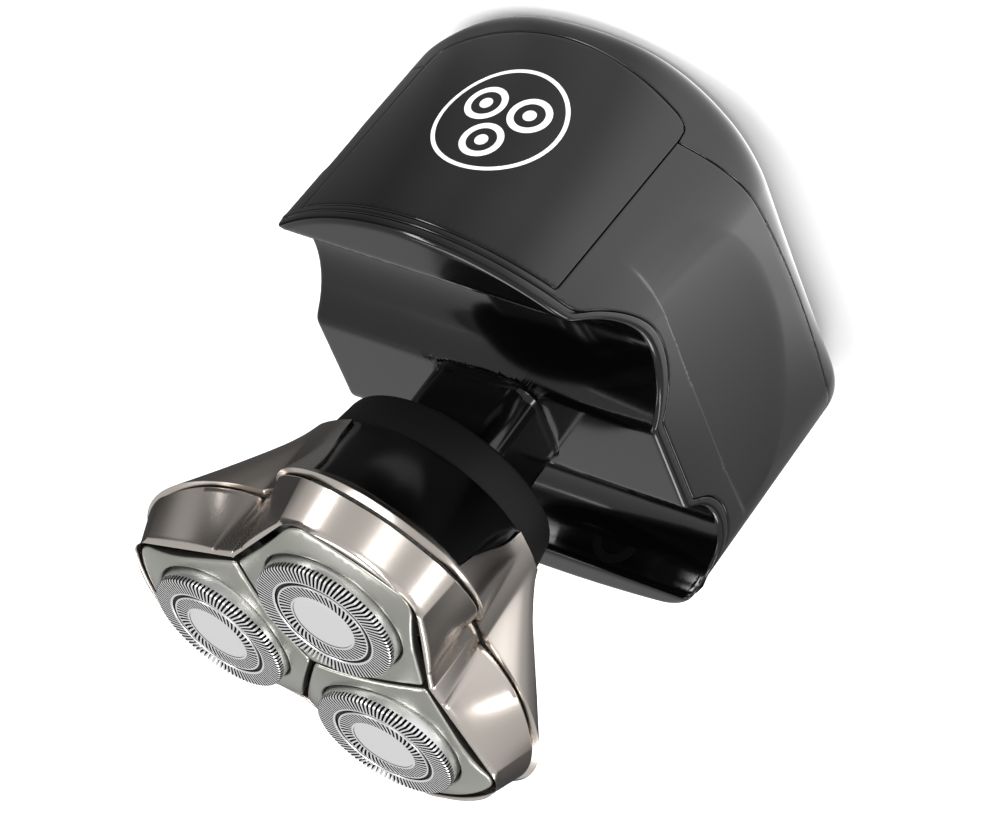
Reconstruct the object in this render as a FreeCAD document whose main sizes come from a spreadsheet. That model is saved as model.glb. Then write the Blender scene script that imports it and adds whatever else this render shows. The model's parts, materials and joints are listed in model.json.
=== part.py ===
import FreeCAD, Part
import os
import re

import Sketcher

# Palm-held electric shaver with three rotary cutters, standing on its palm cover.
# Origin: middle of the flat land under the palm cover. +Z runs from the palm cover through the
# neck to the cutters, -Y is the front panel's side, and the first cutter lies on +X.

App = FreeCAD
Vector = App.Vector
Z_AXIS = Vector(0, 0, 1)
Y_AXIS = Vector(0, 1, 0)
LOBES = (0, 1, 2)
LOBE_STEP = 120
TOOL_REACH = 60

DIMENSIONS = [
    # grip body
    ("body_half_width", 33.3), ("front_reach_top", 46.5), ("front_reach_palm", 42.5),
    ("front_arc_half", 24), ("front_arc_rise", 6.6), ("rear_reach", 34), ("rear_arc_rise", 1.6),
    ("front_corner_radius", 14), ("rear_corner_radius", 10.5), ("palm_edge_radius", 5),
    ("land_half_width", 9), ("crown_rise", 6), ("wall", 2.2), ("panel_thickness", 1.6), ("floor_skin", 2.2),
    # underside of the grip, with its finger channels
    ("underside", 47.2), ("ridge_front", 9.3), ("ridge_rear", 10), ("front_lip", 50.5),
    ("front_lip_edge", 36.5), ("front_channel_mid", 22.5), ("front_channel_depth", 6),
    ("rear_lip", 51.6), ("rear_lip_edge", 27.8), ("rear_channel_mid", 19.5),
    ("rear_channel_depth", 5.2),
    # seam between palm cover and housing, front panel, thumb scoops
    ("seam_mid", 9), ("seam_front", 16.2), ("seam_rear", 12), ("gasket_height", 1.2),
    ("panel_half_width", 24.4), ("panel_low_mid", 5), ("panel_low_side", 10),
    ("panel_top", 47), ("panel_corner", 3),
    ("scoop_depth", 2.4), ("scoop_crease", 36), ("scoop_half_length", 31), ("scoop_height", 22),
    ("scoop_centre", 6.5), ("scoop_ball", 20),
    # neck and drive
    ("neck_half_width", 10), ("neck_front", 9.3), ("neck_rear", 8), ("neck_radius", 4),
    ("neck_top", 61), ("neck_bore", 5), ("post_half_width", 7.5), ("post_half_depth", 6),
    ("post_height", 4), ("post_clearance", 0.1), ("shaft_radius", 1.5), ("shaft_clearance", 0.05),
    ("drive_tip_radius", 2), ("drive_tip_height", 3.5), ("socket_clearance", 0.1),
    # motor, cells and electronics
    ("motor_radius", 12), ("motor_base", 11.6), ("motor_height", 27), ("mount_thickness", 2),
    ("cell_radius", 7), ("cell_length", 46), ("cell_pitch", 20.4), ("cell_axis", 22),
    ("board_width", 38), ("board_depth", 52), ("board_thickness", 1.2), ("board_base", 8.4),
    ("button_radius", 7), ("button_clearance", 0.1), ("button_place", 26), ("button_sink", 0.9),
    ("button_travel", 1.0), ("lens_length", 12), ("lens_width", 5), ("lens_place", 24),
    ("jack_radius", 2.5), ("jack_body_radius", 4), ("jack_length", 4.6), ("jack_side", 14),
    ("jack_height", 46.6), ("jack_tilt", 16), ("jack_wall", 26.6),
    # head shell
    ("collar_low_radius", 18.7), ("collar_high_radius", 19.9), ("collar_height", 8),
    ("lobe_radius", 18.6), ("lobe_offset", 20), ("valley_fill", 4.72), ("shell_height", 21.4),
    ("parting_valley", 84.6), ("parting_lobe", 90.3), ("rim_height", 97), ("rim_draft", 1.2),
    ("rim_lean", 1.8), ("rim_flare", 1.9), ("rim_valley_flare", 1), ("rim_band", 1.6),
    ("shell_wall", 2), ("frame_wall", 1.8), ("insert_thickness", 1),
    ("insert_root", 13), ("insert_root_half", 14.6), ("insert_waist", 22), ("insert_waist_half", 13.2),
    ("insert_corner", 31.2), ("insert_corner_half", 12), ("insert_margin", 1.7),
    # gear train
    ("cutter_pitch", 17.9), ("gear_teeth", 30), ("pinion_teeth", 18), ("gear_height", 4),
    ("gear_base", 82.4), ("plate_thickness", 2), ("gear_shaft", 2.5), ("spindle_radius", 2),
    ("spindle_tip", 1.4), ("spindle_top", 95.6), ("tooth_backlash", 0.12), ("screw_radius", 1),
    # cutting units
    ("head_top", 101), ("cutter_tilt", 3), ("foil_radius", 12), ("foil_skin", 0.6),
    ("foil_height", 4.6), ("foil_gap", 0.5), ("groove_inner", 8.1), ("cutter_well_room", 0.9),
    ("groove_outer", 8.6), ("groove_depth", 0.35), ("cutter_radius", 11.2), ("blade_count", 9),
    ("blade_gap", 0.15), ("plate_drop", 1.3), ("pad_thickness", 2), ("pad_valley_step", 2.7),
    ("pad_lean", 15.6), ("pad_corner", 5), ("pad_gap", 0.45), ("foil_flange", 0.4),
    ("mouth_gap", 0.7), ("mouth_depth", 5.4),
    ("dome_radius", 45.5), ("nose_radius", 34),
]

# sizes that follow from the ones above
DERIVED = [
    ("valley_radius", "=lobe_offset / 2 + sqrt(lobe_radius ^ 2 - 0.75 * lobe_offset ^ 2) + valley_fill"),
    ("rim_low_radius", "=lobe_radius"), ("rim_low_offset", "=lobe_offset + rim_flare"),
    ("rim_radius", "=lobe_radius - rim_draft"), ("rim_offset", "=lobe_offset - rim_lean"),
    ("rim_valley", "=valley_radius + rim_valley_flare"),
    ("pad_valley", "=rim_valley - pad_valley_step"),
    ("pad_nose", "=rim_offset + rim_radius - rim_band"),
]
ALL_SIZES = DIMENSIONS + DERIVED

doc = App.newDocument("Shaver")
sheet = doc.addObject("Spreadsheet::Sheet", "Sizes")
for row, (alias, size) in enumerate(ALL_SIZES, start=1):
    sheet.set("A%d" % row, alias)
    sheet.set("B%d" % row, str(size))
    sheet.setAlias("B%d" % row, alias)
doc.recompute()

ALIASES = sorted((alias for alias, _ in ALL_SIZES), key=len, reverse=True)
ALIAS_PATTERN = re.compile(r"\b(" + "|".join(ALIASES) + r")\b")
pieces = []

# nodes that hold several like fasteners
GROUPED = ("bracket_screws", "gearbox_posts")


def full(expression):
    """Return the expression with each size named as the sheet's own."""
    return ALIAS_PATTERN.sub(r"Sizes.\1", str(expression))


def value(expression):
    """Return the number that an expression gives now."""
    return float(sheet.evalExpression(full(expression)))


def bind(obj, **expressions):
    """Bind properties of an object to expressions."""
    for name, expression in expressions.items():
        obj.setExpression(name, full(expression))
    return obj


def place(obj, x="0", y="0", z="0"):
    """Bind an object's place to expressions."""
    for axis, expression in (("x", x), ("y", y), ("z", z)):
        obj.setExpression("Placement.Base." + axis, full(expression))
    return obj


def piece(obj, label):
    """Name an object as a finished piece of the shaver."""
    obj.Label = label
    pieces.append(obj)
    return obj


def turned(obj, lobe):
    """Turn an object made on the first lobe's axis to another lobe."""
    obj.Placement = App.Placement(Vector(), App.Rotation(Z_AXIS, LOBE_STEP * lobe))
    return obj


def cylinder(name, radius, height, x="0", y="0", z="0"):
    obj = doc.addObject("Part::Cylinder", name)
    return place(bind(obj, Radius=radius, Height=height), x, y, z)


def box(name, low, high):
    """Make a box between two corners given as expressions."""
    obj = doc.addObject("Part::Box", name)
    spans = ["(%s) - (%s)" % (top, bottom) for bottom, top in zip(low, high)]
    bind(obj, Length=spans[0], Width=spans[1], Height=spans[2])
    return place(obj, *low)


def cut(name, base, *tools):
    for count, tool in enumerate(tools):
        obj = doc.addObject("Part::Cut", "%s_cut%d" % (name, count))
        obj.Base = base
        obj.Tool = tool
        base = obj
    return base


def common(name, base, tool):
    obj = doc.addObject("Part::Common", name)
    obj.Base = base
    obj.Tool = tool
    return obj


def fuse(name, *shapes):
    obj = doc.addObject("Part::MultiFuse", name)
    obj.Shapes = list(shapes)
    obj.Refine = True
    return obj


def new_body(name):
    return doc.addObject("PartDesign::Body", name)


def new_sketch(body, name, role="XY_Plane", offset="0"):
    """Attach an empty sketch to one of its body's own origin planes."""
    sketch = body.newObject("Sketcher::SketchObject", name)
    plane = next(item for item in body.Origin.OriginFeatures if item.Role == role)
    sketch.AttachmentSupport = [(plane, "")]
    sketch.MapMode = "FlatFace"
    sketch.setExpression("AttachmentOffset.Base.z", full(offset))
    return sketch


def bind_point(sketch, geometry, point, place_xy):
    """Fix a point of a sketch at two expressions."""
    for kind, expression in zip(("DistanceX", "DistanceY"), place_xy):
        constraint = Sketcher.Constraint(kind, -1, 1, geometry, point, value(expression))
        index = sketch.addConstraint(constraint)
        sketch.setExpression("Constraints[%d]" % index, full(expression))


def at(place_xy):
    return Vector(value(place_xy[0]), value(place_xy[1]), 0)


def outline(sketch, start, *runs):
    """Draw a closed outline: each run is (end,) for a line or (middle, end) for an arc."""
    first = None
    previous = None
    corner = start
    for number, run in enumerate(runs):
        end = run[-1]
        last = number == len(runs) - 1
        if len(run) == 1:
            index = sketch.addGeometry(Part.LineSegment(at(corner), at(end)))
            start_point, end_point = 1, 2
        else:
            chord = at(end) - at(corner)
            bow = at(run[0]) - at(corner)
            forward = chord.x * bow.y - chord.y * bow.x < 0
            ends = (corner, end) if forward else (end, corner)
            index = sketch.addGeometry(Part.Arc(at(ends[0]), at(run[0]), at(ends[1])))
            start_point, end_point = (1, 2) if forward else (2, 1)
            guide = sketch.addGeometry(Part.Point(at(run[0])), True)
            bind_point(sketch, guide, 1, run[0])
            sketch.addConstraint(Sketcher.Constraint("PointOnObject", guide, 1, index))
        if previous is None:
            first = (index, start_point)
            bind_point(sketch, index, start_point, start)
        else:
            sketch.addConstraint(
                Sketcher.Constraint("Coincident", previous[0], previous[1], index, start_point))
        if last:
            sketch.addConstraint(
                Sketcher.Constraint("Coincident", index, end_point, first[0], first[1]))
        else:
            bind_point(sketch, index, end_point, end)
        previous = (index, end_point)
        corner = end
    return sketch


def ring(sketch, radius, x="0", y="0"):
    """Draw a circle bound to expressions."""
    circle = Part.Circle(at((x, y)), Z_AXIS, value(radius))
    index = sketch.addGeometry(circle)
    bind_point(sketch, index, 3, (x, y))
    constraint = sketch.addConstraint(Sketcher.Constraint("Radius", index, value(radius)))
    sketch.setExpression("Constraints[%d]" % constraint, full(radius))
    return sketch


def pad(body, sketch, length, middle=False):
    feature = body.newObject("PartDesign::Pad", "Pad")
    feature.Profile = sketch
    feature.Midplane = middle
    return bind(feature, Length=length)


def revolve(body, sketch):
    feature = body.newObject("PartDesign::Revolution", "Revolution")
    feature.Profile = sketch
    feature.ReferenceAxis = (sketch, ["V_Axis"])
    feature.Angle = 360
    return feature


def round_rectangle(sketch, half_width, front, rear, radius):
    """Draw a rectangle with rounded corners, symmetric about the sketch's Y axis."""
    bulge = "%s * 0.29289" % radius
    left, right = "-(%s)" % half_width, half_width
    low, high = "-(%s)" % front, rear
    return outline(
        sketch, (left + " + " + radius, low),
        ((right + " - " + radius, low),),
        ((right + " - " + bulge, low + " + " + bulge), (right, low + " + " + radius)),
        ((right, high + " - " + radius),),
        ((right + " - " + bulge, high + " - " + bulge), (right + " - " + radius, high)),
        ((left + " + " + radius, high),),
        ((left + " + " + bulge, high + " - " + bulge), (left, high + " - " + radius)),
        ((left, low + " + " + radius),),
        ((left + " + " + bulge, low + " + " + bulge), (left + " + " + radius, low)))


# ---------------------------------------------------------------- grip body


def plan_end(reach, rise, corner, inset, end):
    """Return one end of the plan: its tip, and each right-hand corner's three points."""
    bow = "((pow(front_arc_half; 2) + pow(%s; 2)) / (2 * %s))" % (rise, rise)
    centre_x = "(body_half_width - %s)" % corner
    lean_x = "(%s / (%s - %s))" % (centre_x, bow, corner)
    lean_y = "sqrt(1 - pow(%s; 2))" % lean_x
    centre_y = "(%s - %s + (%s - %s) * %s)" % (reach, bow, bow, corner, lean_y)
    radius = "(%s - %s)" % (corner, inset)
    split = "sqrt(pow(1 + %s; 2) + pow(%s; 2))" % (lean_x, lean_y)
    tip = ("0", "%d * (%s - %s)" % (end, reach, inset))
    touch = ("%s + %s * %s" % (centre_x, radius, lean_x),
             "%d * (%s + %s * %s)" % (end, centre_y, radius, lean_y))
    middle = ("%s + %s * (1 + %s) / %s" % (centre_x, radius, lean_x, split),
              "%d * (%s + %s * %s / %s)" % (end, centre_y, radius, lean_y, split))
    side = ("body_half_width - %s" % inset, "%d * %s" % (end, centre_y))
    return tip, touch, middle, side


def mirrored(place_xy):
    return "-(%s)" % place_xy[0], place_xy[1]


def plan_outline(sketch, reach, inset):
    """Draw the grip seen from above: bowed front, straight sides, bowed rear, round corners."""
    front = plan_end(reach, "front_arc_rise", "front_corner_radius", inset, -1)
    rear = plan_end("rear_reach", "rear_arc_rise", "rear_corner_radius", inset, 1)
    front_tip, front_touch, front_middle, front_side = front
    rear_tip, rear_touch, rear_middle, rear_side = rear
    return outline(
        sketch, mirrored(front_touch),
        (front_tip, front_touch),
        (front_middle, front_side),
        (rear_side,),
        (rear_middle, rear_touch),
        (rear_tip, mirrored(rear_touch)),
        (mirrored(rear_middle), mirrored(rear_side)),
        (mirrored(front_side),),
        (mirrored(front_middle), mirrored(front_touch)))


def underside_profile(sketch, skin):
    """Draw the space below the grip's underside less a skin, seen from the side."""
    front_edge = "-(front_lip_edge + %s)" % skin
    rear_edge = "rear_lip_edge + %s" % skin
    flat = "underside - %s" % skin
    far = str(TOOL_REACH)
    return outline(
        sketch, ("-" + far, "front_lip - " + skin),
        ((front_edge, "front_lip - " + skin),),
        (("-front_channel_mid", flat + " - front_channel_depth"), ("-ridge_front", flat)),
        (("ridge_rear", flat),),
        (("rear_channel_mid", flat + " - rear_channel_depth"), (rear_edge, "rear_lip - " + skin)),
        ((far, "rear_lip - " + skin),),
        ((far, "-10"),),
        (("-" + far, "-10"),),
        (("-" + far, "front_lip - " + skin),))


def crown_profile(sketch, low):
    """Draw the space above the palm's crowned surface, seen from the front."""
    far = str(TOOL_REACH)
    mid = "(land_half_width + body_half_width) / 2"
    bulge = "%s + crown_rise / 4" % low
    edge = "%s + crown_rise" % low
    return outline(
        sketch, ("-land_half_width", low),
        (("land_half_width", low),),
        ((mid, bulge), ("body_half_width", edge)),
        ((far, edge),),
        ((far, "underside + 20"),),
        (("-" + far, "underside + 20"),),
        (("-" + far, edge),),
        (("-body_half_width", edge),),
        (("-" + mid, bulge), ("-land_half_width", low)))


def drum(name, inset):
    """Make the grip's plan as a leaning solid with rounded corners."""
    body = new_body(name)
    low = new_sketch(body, name + "_palm_plan", offset="0")
    plan_outline(low, "front_reach_palm", inset)
    high = new_sketch(body, name + "_top_plan", offset="underside + 10")
    plan_outline(high, "front_reach_top", inset)
    loft = body.newObject("PartDesign::AdditiveLoft", name + "_loft")
    loft.Profile = low
    loft.Sections = [high]
    loft.Ruled = True
    return body


def envelope(name, inset, skin, rounded=True):
    """Make the grip's solid, inset from its sides and palm and cut to its underside."""
    side = new_body(name + "_side")
    side_sketch = new_sketch(side, name + "_side_profile", "YZ_Plane")
    underside_profile(side_sketch, skin)
    pad(side, side_sketch, "body_half_width * 3", True)
    crown = new_body(name + "_crown")
    crown_sketch = new_sketch(crown, name + "_crown_profile", "XZ_Plane")
    crown_profile(crown_sketch, inset)
    pad(crown, crown_sketch, "front_reach_top * 3", True)
    solid = common(name + "_trimmed", drum(name + "_drum", inset), crown)
    solid = common(name + "_solid", solid, side)
    doc.recompute()
    if not rounded:
        return solid
    tall = [face for face in solid.Shape.Faces if face.BoundBox.ZMax > value("seam_front") + 5
            and face.BoundBox.ZMin < value("seam_mid")]
    tall_edges = [edge for face in tall for edge in face.Edges]
    palm_edges = [
        number for number, edge in enumerate(solid.Shape.Edges, start=1)
        if edge.BoundBox.ZMax < value("seam_mid") + 2
        and any(edge.isSame(other) for other in tall_edges)]
    fillet = doc.addObject("Part::Fillet", name + "_rounded")
    fillet.Base = solid
    radius = value("palm_edge_radius")
    fillet.Edges = [(number, radius, radius) for number in palm_edges]
    return fillet


def below_seam(name, raise_by):
    """Make the space below the arched seam between palm cover and housing."""
    body = new_body(name)
    sketch = new_sketch(body, name + "_profile", "YZ_Plane")
    outline(
        sketch, ("-front_reach_top", "seam_front + " + raise_by),
        (("0", "seam_mid + " + raise_by), ("rear_reach", "seam_rear + " + raise_by)),
        (("rear_reach + 10", "seam_rear + " + raise_by),),
        (("rear_reach + 10", "-10"),),
        (("-front_reach_top - 10", "-10"),),
        (("-front_reach_top - 10", "seam_front + " + raise_by),),
        (("-front_reach_top", "seam_front + " + raise_by),))
    pad(body, sketch, "body_half_width * 3", True)
    return body


def scoop(name, side, sink="0"):
    """Make the tool for the shallow thumb scoop on one side of the grip, sunk by a distance."""
    ball = doc.addObject("Part::Ellipsoid", name)
    shrink = "sqrt(1 - pow((scoop_ball - scoop_depth) / scoop_ball; 2))"
    bind(ball, Radius1="scoop_height / " + shrink, Radius2="scoop_ball",
         Radius3="scoop_half_length / " + shrink)
    ball.Angle1 = -90
    ball.Angle2 = 0
    place(ball, "%d * (body_half_width + scoop_ball - scoop_depth - %s)" % (side, sink),
          "-scoop_centre", "scoop_crease + %s" % sink)
    return ball


outer = envelope("outer", "0", "0")
cavity = cut("cavity_relieved", envelope("cavity", "wall", "floor_skin", rounded=False),
             scoop("relief_right", 1, "wall"), scoop("relief_left", -1, "wall"))
panel_back = envelope("panel_back", "panel_thickness", "0", rounded=False)
seam_space = below_seam("seam_space", "0")
doc.recompute()

panel_tool = new_body("panel_tool")
panel_sketch = new_sketch(panel_tool, "panel_outline", "XZ_Plane", "front_arc_half")
outline(
    panel_sketch, ("-panel_half_width", "panel_top"),
    (("-panel_half_width", "panel_low_side + panel_corner"),),
    (("-panel_half_width + panel_corner * 0.3", "panel_low_side + panel_corner * 0.2"),
     ("-panel_half_width + panel_corner", "panel_low_side - panel_corner * 0.3")),
    (("0", "panel_low_mid"),
     ("panel_half_width - panel_corner", "panel_low_side - panel_corner * 0.3")),
    (("panel_half_width - panel_corner * 0.3", "panel_low_side + panel_corner * 0.2"),
     ("panel_half_width", "panel_low_side + panel_corner")),
    (("panel_half_width", "panel_top"),),
    (("-panel_half_width", "panel_top"),))
pad(panel_tool, panel_sketch, "front_reach_top")
panel_block = common("panel_block", outer, panel_tool)
front_panel = piece(cut("front_panel_blank", panel_block, panel_back), "front_panel")

under_space = new_body("under_space")
under_sketch = new_sketch(under_space, "under_profile", "YZ_Plane")
underside_profile(under_sketch, "floor_skin")
pad(under_space, under_sketch, "body_half_width * 3", True)

button_hole = cylinder("button_hole", "button_radius + button_clearance", "20",
                       y="-button_place", z="-5")
lens_body = new_body("lens_tool")
lens_sketch = new_sketch(lens_body, "lens_outline", "XY_Plane", "-2")
round_rectangle(lens_sketch, "lens_length / 2", "(-lens_place + lens_width / 2)",
                "lens_place + lens_width / 2", "(lens_width / 2 - 0.1)")
pad(lens_body, lens_sketch, "12")

palm_blank = common("palm_blank", outer, seam_space)
palm_cover = cut("palm_cover_blank", palm_blank, cavity, front_panel, button_hole, lens_body)
piece(palm_cover, "palm_cover")
lens_low = common("lens_low", outer, lens_body)
piece(cut("lens_blank", lens_low, cavity), "indicator_lens")

jack_hole = cylinder("jack_hole", "jack_body_radius", "jack_length + 3")
housing_blank = common("housing_blank", outer, under_space)
housing = cut("housing_shell", housing_blank, cavity, seam_space, front_panel,
              scoop("scoop_right", 1), scoop("scoop_left", -1), jack_hole)
piece(housing, "grip_housing")

neck_hole = cylinder("neck_hole", "neck_bore + 2", "30", z="underside - 20")
finger_plate = cut("finger_plate_blank", outer, under_space, neck_hole, jack_hole)
piece(finger_plate, "finger_plate")

gasket_space = below_seam("gasket_space", "gasket_height")
gasket_outer = common("gasket_outer", cavity, gasket_space)
gasket_ring = cut("gasket_ring", gasket_outer, seam_space,
                  envelope("gasket_core", "(wall + 1.2)", "floor_skin", rounded=False))
piece(gasket_ring, "housing_gasket")

# Charging socket in the rear lip: its mouth faces the front and leans away from the palm.
JACK_PLACE = ("-jack_side", "jack_wall", "jack_height")
jack_blank = cylinder("jack_blank", "jack_body_radius", "jack_length")
jack_bore = cylinder("jack_bore", "jack_radius", "jack_length")
for part_of_jack in (jack_blank, jack_bore, jack_hole):
    place(part_of_jack, *JACK_PLACE)
    part_of_jack.Placement.Rotation = App.Rotation(Vector(1, 0, 0), -90 - value("jack_tilt"))
place(jack_hole, "-jack_side", "jack_wall - 3 * cos(jack_tilt)", "jack_height + 3 * sin(jack_tilt)")
place(jack_bore, "-jack_side", "jack_wall - 0.8 * cos(jack_tilt)",
      "jack_height + 0.8 * sin(jack_tilt)")
piece(cut("jack_tube", jack_blank, jack_bore), "dc_socket")

# ---------------------------------------------------------------- neck and drive

neck_body = new_body("neck_blank")
neck_sketch = new_sketch(neck_body, "neck_outline", "XY_Plane", "underside")
round_rectangle(neck_sketch, "neck_half_width", "neck_front", "neck_rear", "neck_radius")
pad(neck_body, neck_sketch, "neck_top - underside")
post_sketch = new_sketch(neck_body, "post_outline", "XY_Plane", "neck_top")
round_rectangle(post_sketch, "post_half_width", "post_half_depth", "post_half_depth",
                "neck_radius / 2")
pad(neck_body, post_sketch, "post_height")
neck_spigot = cylinder("neck_spigot", "neck_bore + 2", "floor_skin", z="underside - floor_skin")
neck_bore_tool = cylinder("neck_bore_tool", "neck_bore", "30", z="underside - 6")
neck_solid = fuse("neck_solid", neck_body, neck_spigot)
piece(cut("neck_hollow", neck_solid, neck_bore_tool), "neck")

bush_hole = cylinder("bush_hole", "shaft_radius + shaft_clearance", "40", z="underside - 5")
bush_blank = cylinder("bush_blank", "neck_bore", "6", z="neck_top - 4")
piece(cut("bush", bush_blank, bush_hole), "neck_bush")
seal_blank = cylinder("seal_blank", "neck_bore", "1.6", z="neck_top + 2")
piece(cut("seal", seal_blank, cylinder("seal_hole", "shaft_radius + shaft_clearance", "4",
                                       z="neck_top + 1")), "neck_seal")

motor_can = cylinder("motor_can", "motor_radius", "motor_height", z="motor_base")
motor_nose = cylinder("motor_nose", "3", "1.4", z="motor_base + motor_height")
piece(fuse("motor_whole", motor_can, motor_nose), "drive_motor")

shaft = cylinder("shaft", "shaft_radius", "neck_top + 6 - motor_base - motor_height - 1.4",
                 z="motor_base + motor_height + 1.4")
tip = cylinder("shaft_tip", "drive_tip_radius", "drive_tip_height", z="neck_top + post_height + 0.4")
flats = [box("tip_flat_%d" % side,
             ("%s" % ("drive_tip_radius * 0.6" if side > 0 else "-drive_tip_radius - 1"), "-4",
              "neck_top + post_height + 1"),
             ("%s" % ("drive_tip_radius + 1" if side > 0 else "-drive_tip_radius * 0.6"), "4",
              "neck_top + post_height + drive_tip_height + 1")) for side in (1, -1)]
piece(cut("shaft_flatted", fuse("shaft_whole", shaft, tip), *flats), "drive_shaft")

mount_low = "(motor_base + motor_height - mount_thickness)"
mount_body = new_body("mount_blank")
mount_sketch = new_sketch(mount_body, "mount_outline", "XY_Plane", mount_low)
round_rectangle(mount_sketch, "16", "16", "16", "4")
pad(mount_body, mount_sketch, "mount_thickness")
mount_screws = [(sx * 12.6, sy * 12.6) for sx in (-1, 1) for sy in (-1, 1)]
mount_holes = [cylinder("mount_hole_%d" % number, "screw_radius + 0.2", "6", str(x), str(y),
                        mount_low + " - 1") for number, (x, y) in enumerate(mount_screws)]
motor_hole = cylinder("motor_hole", "motor_radius", "10", z=mount_low + " - 1")
piece(cut("mount", mount_body, motor_hole, *mount_holes), "motor_bracket")

screw_parts = []
for number, (x, y) in enumerate(mount_screws):
    head = cylinder("screw_head_%d" % number, "screw_radius * 1.9", "1.2", str(x), str(y),
                    mount_low + " - 1.2")
    stem = cylinder("screw_stem_%d" % number, "screw_radius", "3.4", str(x), str(y),
                    mount_low + " - 0.2")
    screw_parts.append(fuse("screw_%d" % number, head, stem))
screws = doc.addObject("Part::Compound", "bracket_screws_group")
screws.Links = screw_parts
piece(screws, "bracket_screws")

for side, name in ((-1, "left"), (1, "right")):
    cell = cylinder("cell_%s" % name, "cell_radius", "cell_length")
    cell.Placement = App.Placement(Vector(), App.Rotation(Vector(1, 0, 0), -90))
    place(cell, "%d * cell_pitch" % side, "-cell_length / 2 - 4", "cell_axis")
    terminal = cylinder("terminal_%s" % name, "cell_radius * 0.35", "1")
    terminal.Placement = App.Placement(Vector(), App.Rotation(Vector(1, 0, 0), -90))
    place(terminal, "%d * cell_pitch" % side, "cell_length / 2 - 4", "cell_axis")
    piece(fuse("cell_whole_%s" % name, cell, terminal), "battery_cell_" + name)

board = box("board", ("-board_width / 2", "-board_depth / 2 - 8", "board_base"),
            ("board_width / 2", "board_depth / 2 - 8", "board_base + board_thickness"))
piece(board, "circuit_board")
switch_low = "(board_base - 1.4)"
switch = box("switch", ("-3", "-button_place - 3", switch_low),
             ("3", "-button_place + 3", "board_base"))
piece(switch, "button_switch")

button_stem_top = "(board_base - 1.4 - button_travel - 0.2)"
button_cap = cylinder("button_cap", "button_radius", "1.8", y="-button_place", z="button_sink")
button_flange = cylinder("button_flange", "button_radius + 1", "0.8", y="-button_place",
                         z="floor_skin + 0.1")
button_stem = cylinder("button_stem", "button_radius - 3", button_stem_top + " - button_sink",
                       y="-button_place", z="button_sink")
button_blank = fuse("button_blank", button_cap, button_flange, button_stem)
button_dish = doc.addObject("Part::Sphere", "button_dish")
bind(button_dish, Radius="30")
place(button_dish, y="-button_place", z="button_sink + 0.4 - 30")
piece(cut("button_dished", button_blank, button_dish), "power_button")

# ---------------------------------------------------------------- head shell


def lobed_outline(sketch, radius, offset, middle, low=None):
    """Draw three lobe arcs joined by short arcs about the head's axis at the valleys.

    low is the plain radius of a round section split at the same angles.
    """
    cosine = "(pow(%s; 2) + pow(%s; 2) - pow(%s; 2)) / (2 * %s * %s)" % (
        middle, offset, radius, middle, offset)
    half_angle = value("acos(%s)" % cosine)
    split = "acos(%s)" % cosine
    far = "(%s + %s)" % (offset, radius)
    if low:
        far = middle = low

    def polar(reach, angle, turn=""):
        bearing = "%g deg%s" % (angle, turn)
        return "%s * cos(%s)" % (reach, bearing), "%s * sin(%s)" % (reach, bearing)

    if not 0 < half_angle < LOBE_STEP / 2:
        raise ValueError("the lobes of %s do not meet its middle circle" % sketch.Name)
    runs = []
    for lobe in LOBES:
        angle = LOBE_STEP * lobe
        runs.append((polar(far, angle), polar(middle, angle, " + " + split)))
        runs.append((polar(middle, angle + LOBE_STEP / 2),
                     polar(middle, angle + LOBE_STEP, " - " + split)))
    return outline(sketch, polar(middle, 0, " - " + split), *runs)


def lobed(name, low, high, spread="0"):
    """Loft a three-lobed solid between sections of lobe radius, offset, middle and height."""
    body = new_body(name)
    sections = []
    for number, (radius, offset, middle, height) in enumerate((low, high)):
        sketch = new_sketch(body, "%s_section%d" % (name, number), "XY_Plane", height)
        round_low = "(%s - %s)" % (low[2], spread) if offset == "0" else None
        lobe_section = high if round_low else (radius, offset, middle)
        sections.append(lobed_outline(
            sketch, "(%s - %s)" % (lobe_section[0], spread), lobe_section[1],
            "(%s - %s)" % (lobe_section[2], spread), round_low))
    loft = body.newObject("PartDesign::AdditiveLoft", name + "_loft")
    loft.Profile = sections[0]
    loft.Sections = [sections[1]]
    loft.Ruled = True
    return body


COLLAR_TOP = "(neck_top + collar_height)"
SHELL_LOW = ("collar_high_radius", "0", "collar_high_radius", COLLAR_TOP)
SHELL_HIGH = ("lobe_radius", "lobe_offset", "valley_radius", COLLAR_TOP + " + shell_height")
RIM_LOW = ("rim_low_radius", "rim_low_offset", "valley_radius", "parting_valley")
RIM_HIGH = ("rim_radius", "rim_offset", "rim_valley", "rim_height")

# The parting surface between shell and blade frame is a shallow cone about the head's axis.
PARTING_RISE = "((parting_lobe - parting_valley) / (lobe_offset + lobe_radius - valley_radius))"


def above_parting(name, lift="0"):
    """Make the space above the parting cone."""
    reach = "(lobe_offset + lobe_radius + 10)"
    body = new_body(name)
    sketch = new_sketch(body, name + "_profile", "XZ_Plane")
    start = "(parting_valley - valley_radius * %s + %s)" % (PARTING_RISE, lift)
    outline(
        sketch, ("0", start),
        ((reach, "%s + %s * %s" % (start, reach, PARTING_RISE)),),
        ((reach, "head_top + 20"),),
        (("0", "head_top + 20"),),
        (("0", start),))
    revolve(body, sketch)
    return body


parting_space = above_parting("parting_space")
shell_outer = lobed("shell_outer", SHELL_LOW, SHELL_HIGH)
shell_inner = lobed("shell_inner", SHELL_LOW, SHELL_HIGH, "shell_wall")
shell_open = cut("shell_open", shell_outer, shell_inner, parting_space)
insert_skin = cut("insert_skin", shell_outer,
                  lobed("insert_back", SHELL_LOW, SHELL_HIGH, "insert_thickness"))

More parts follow.
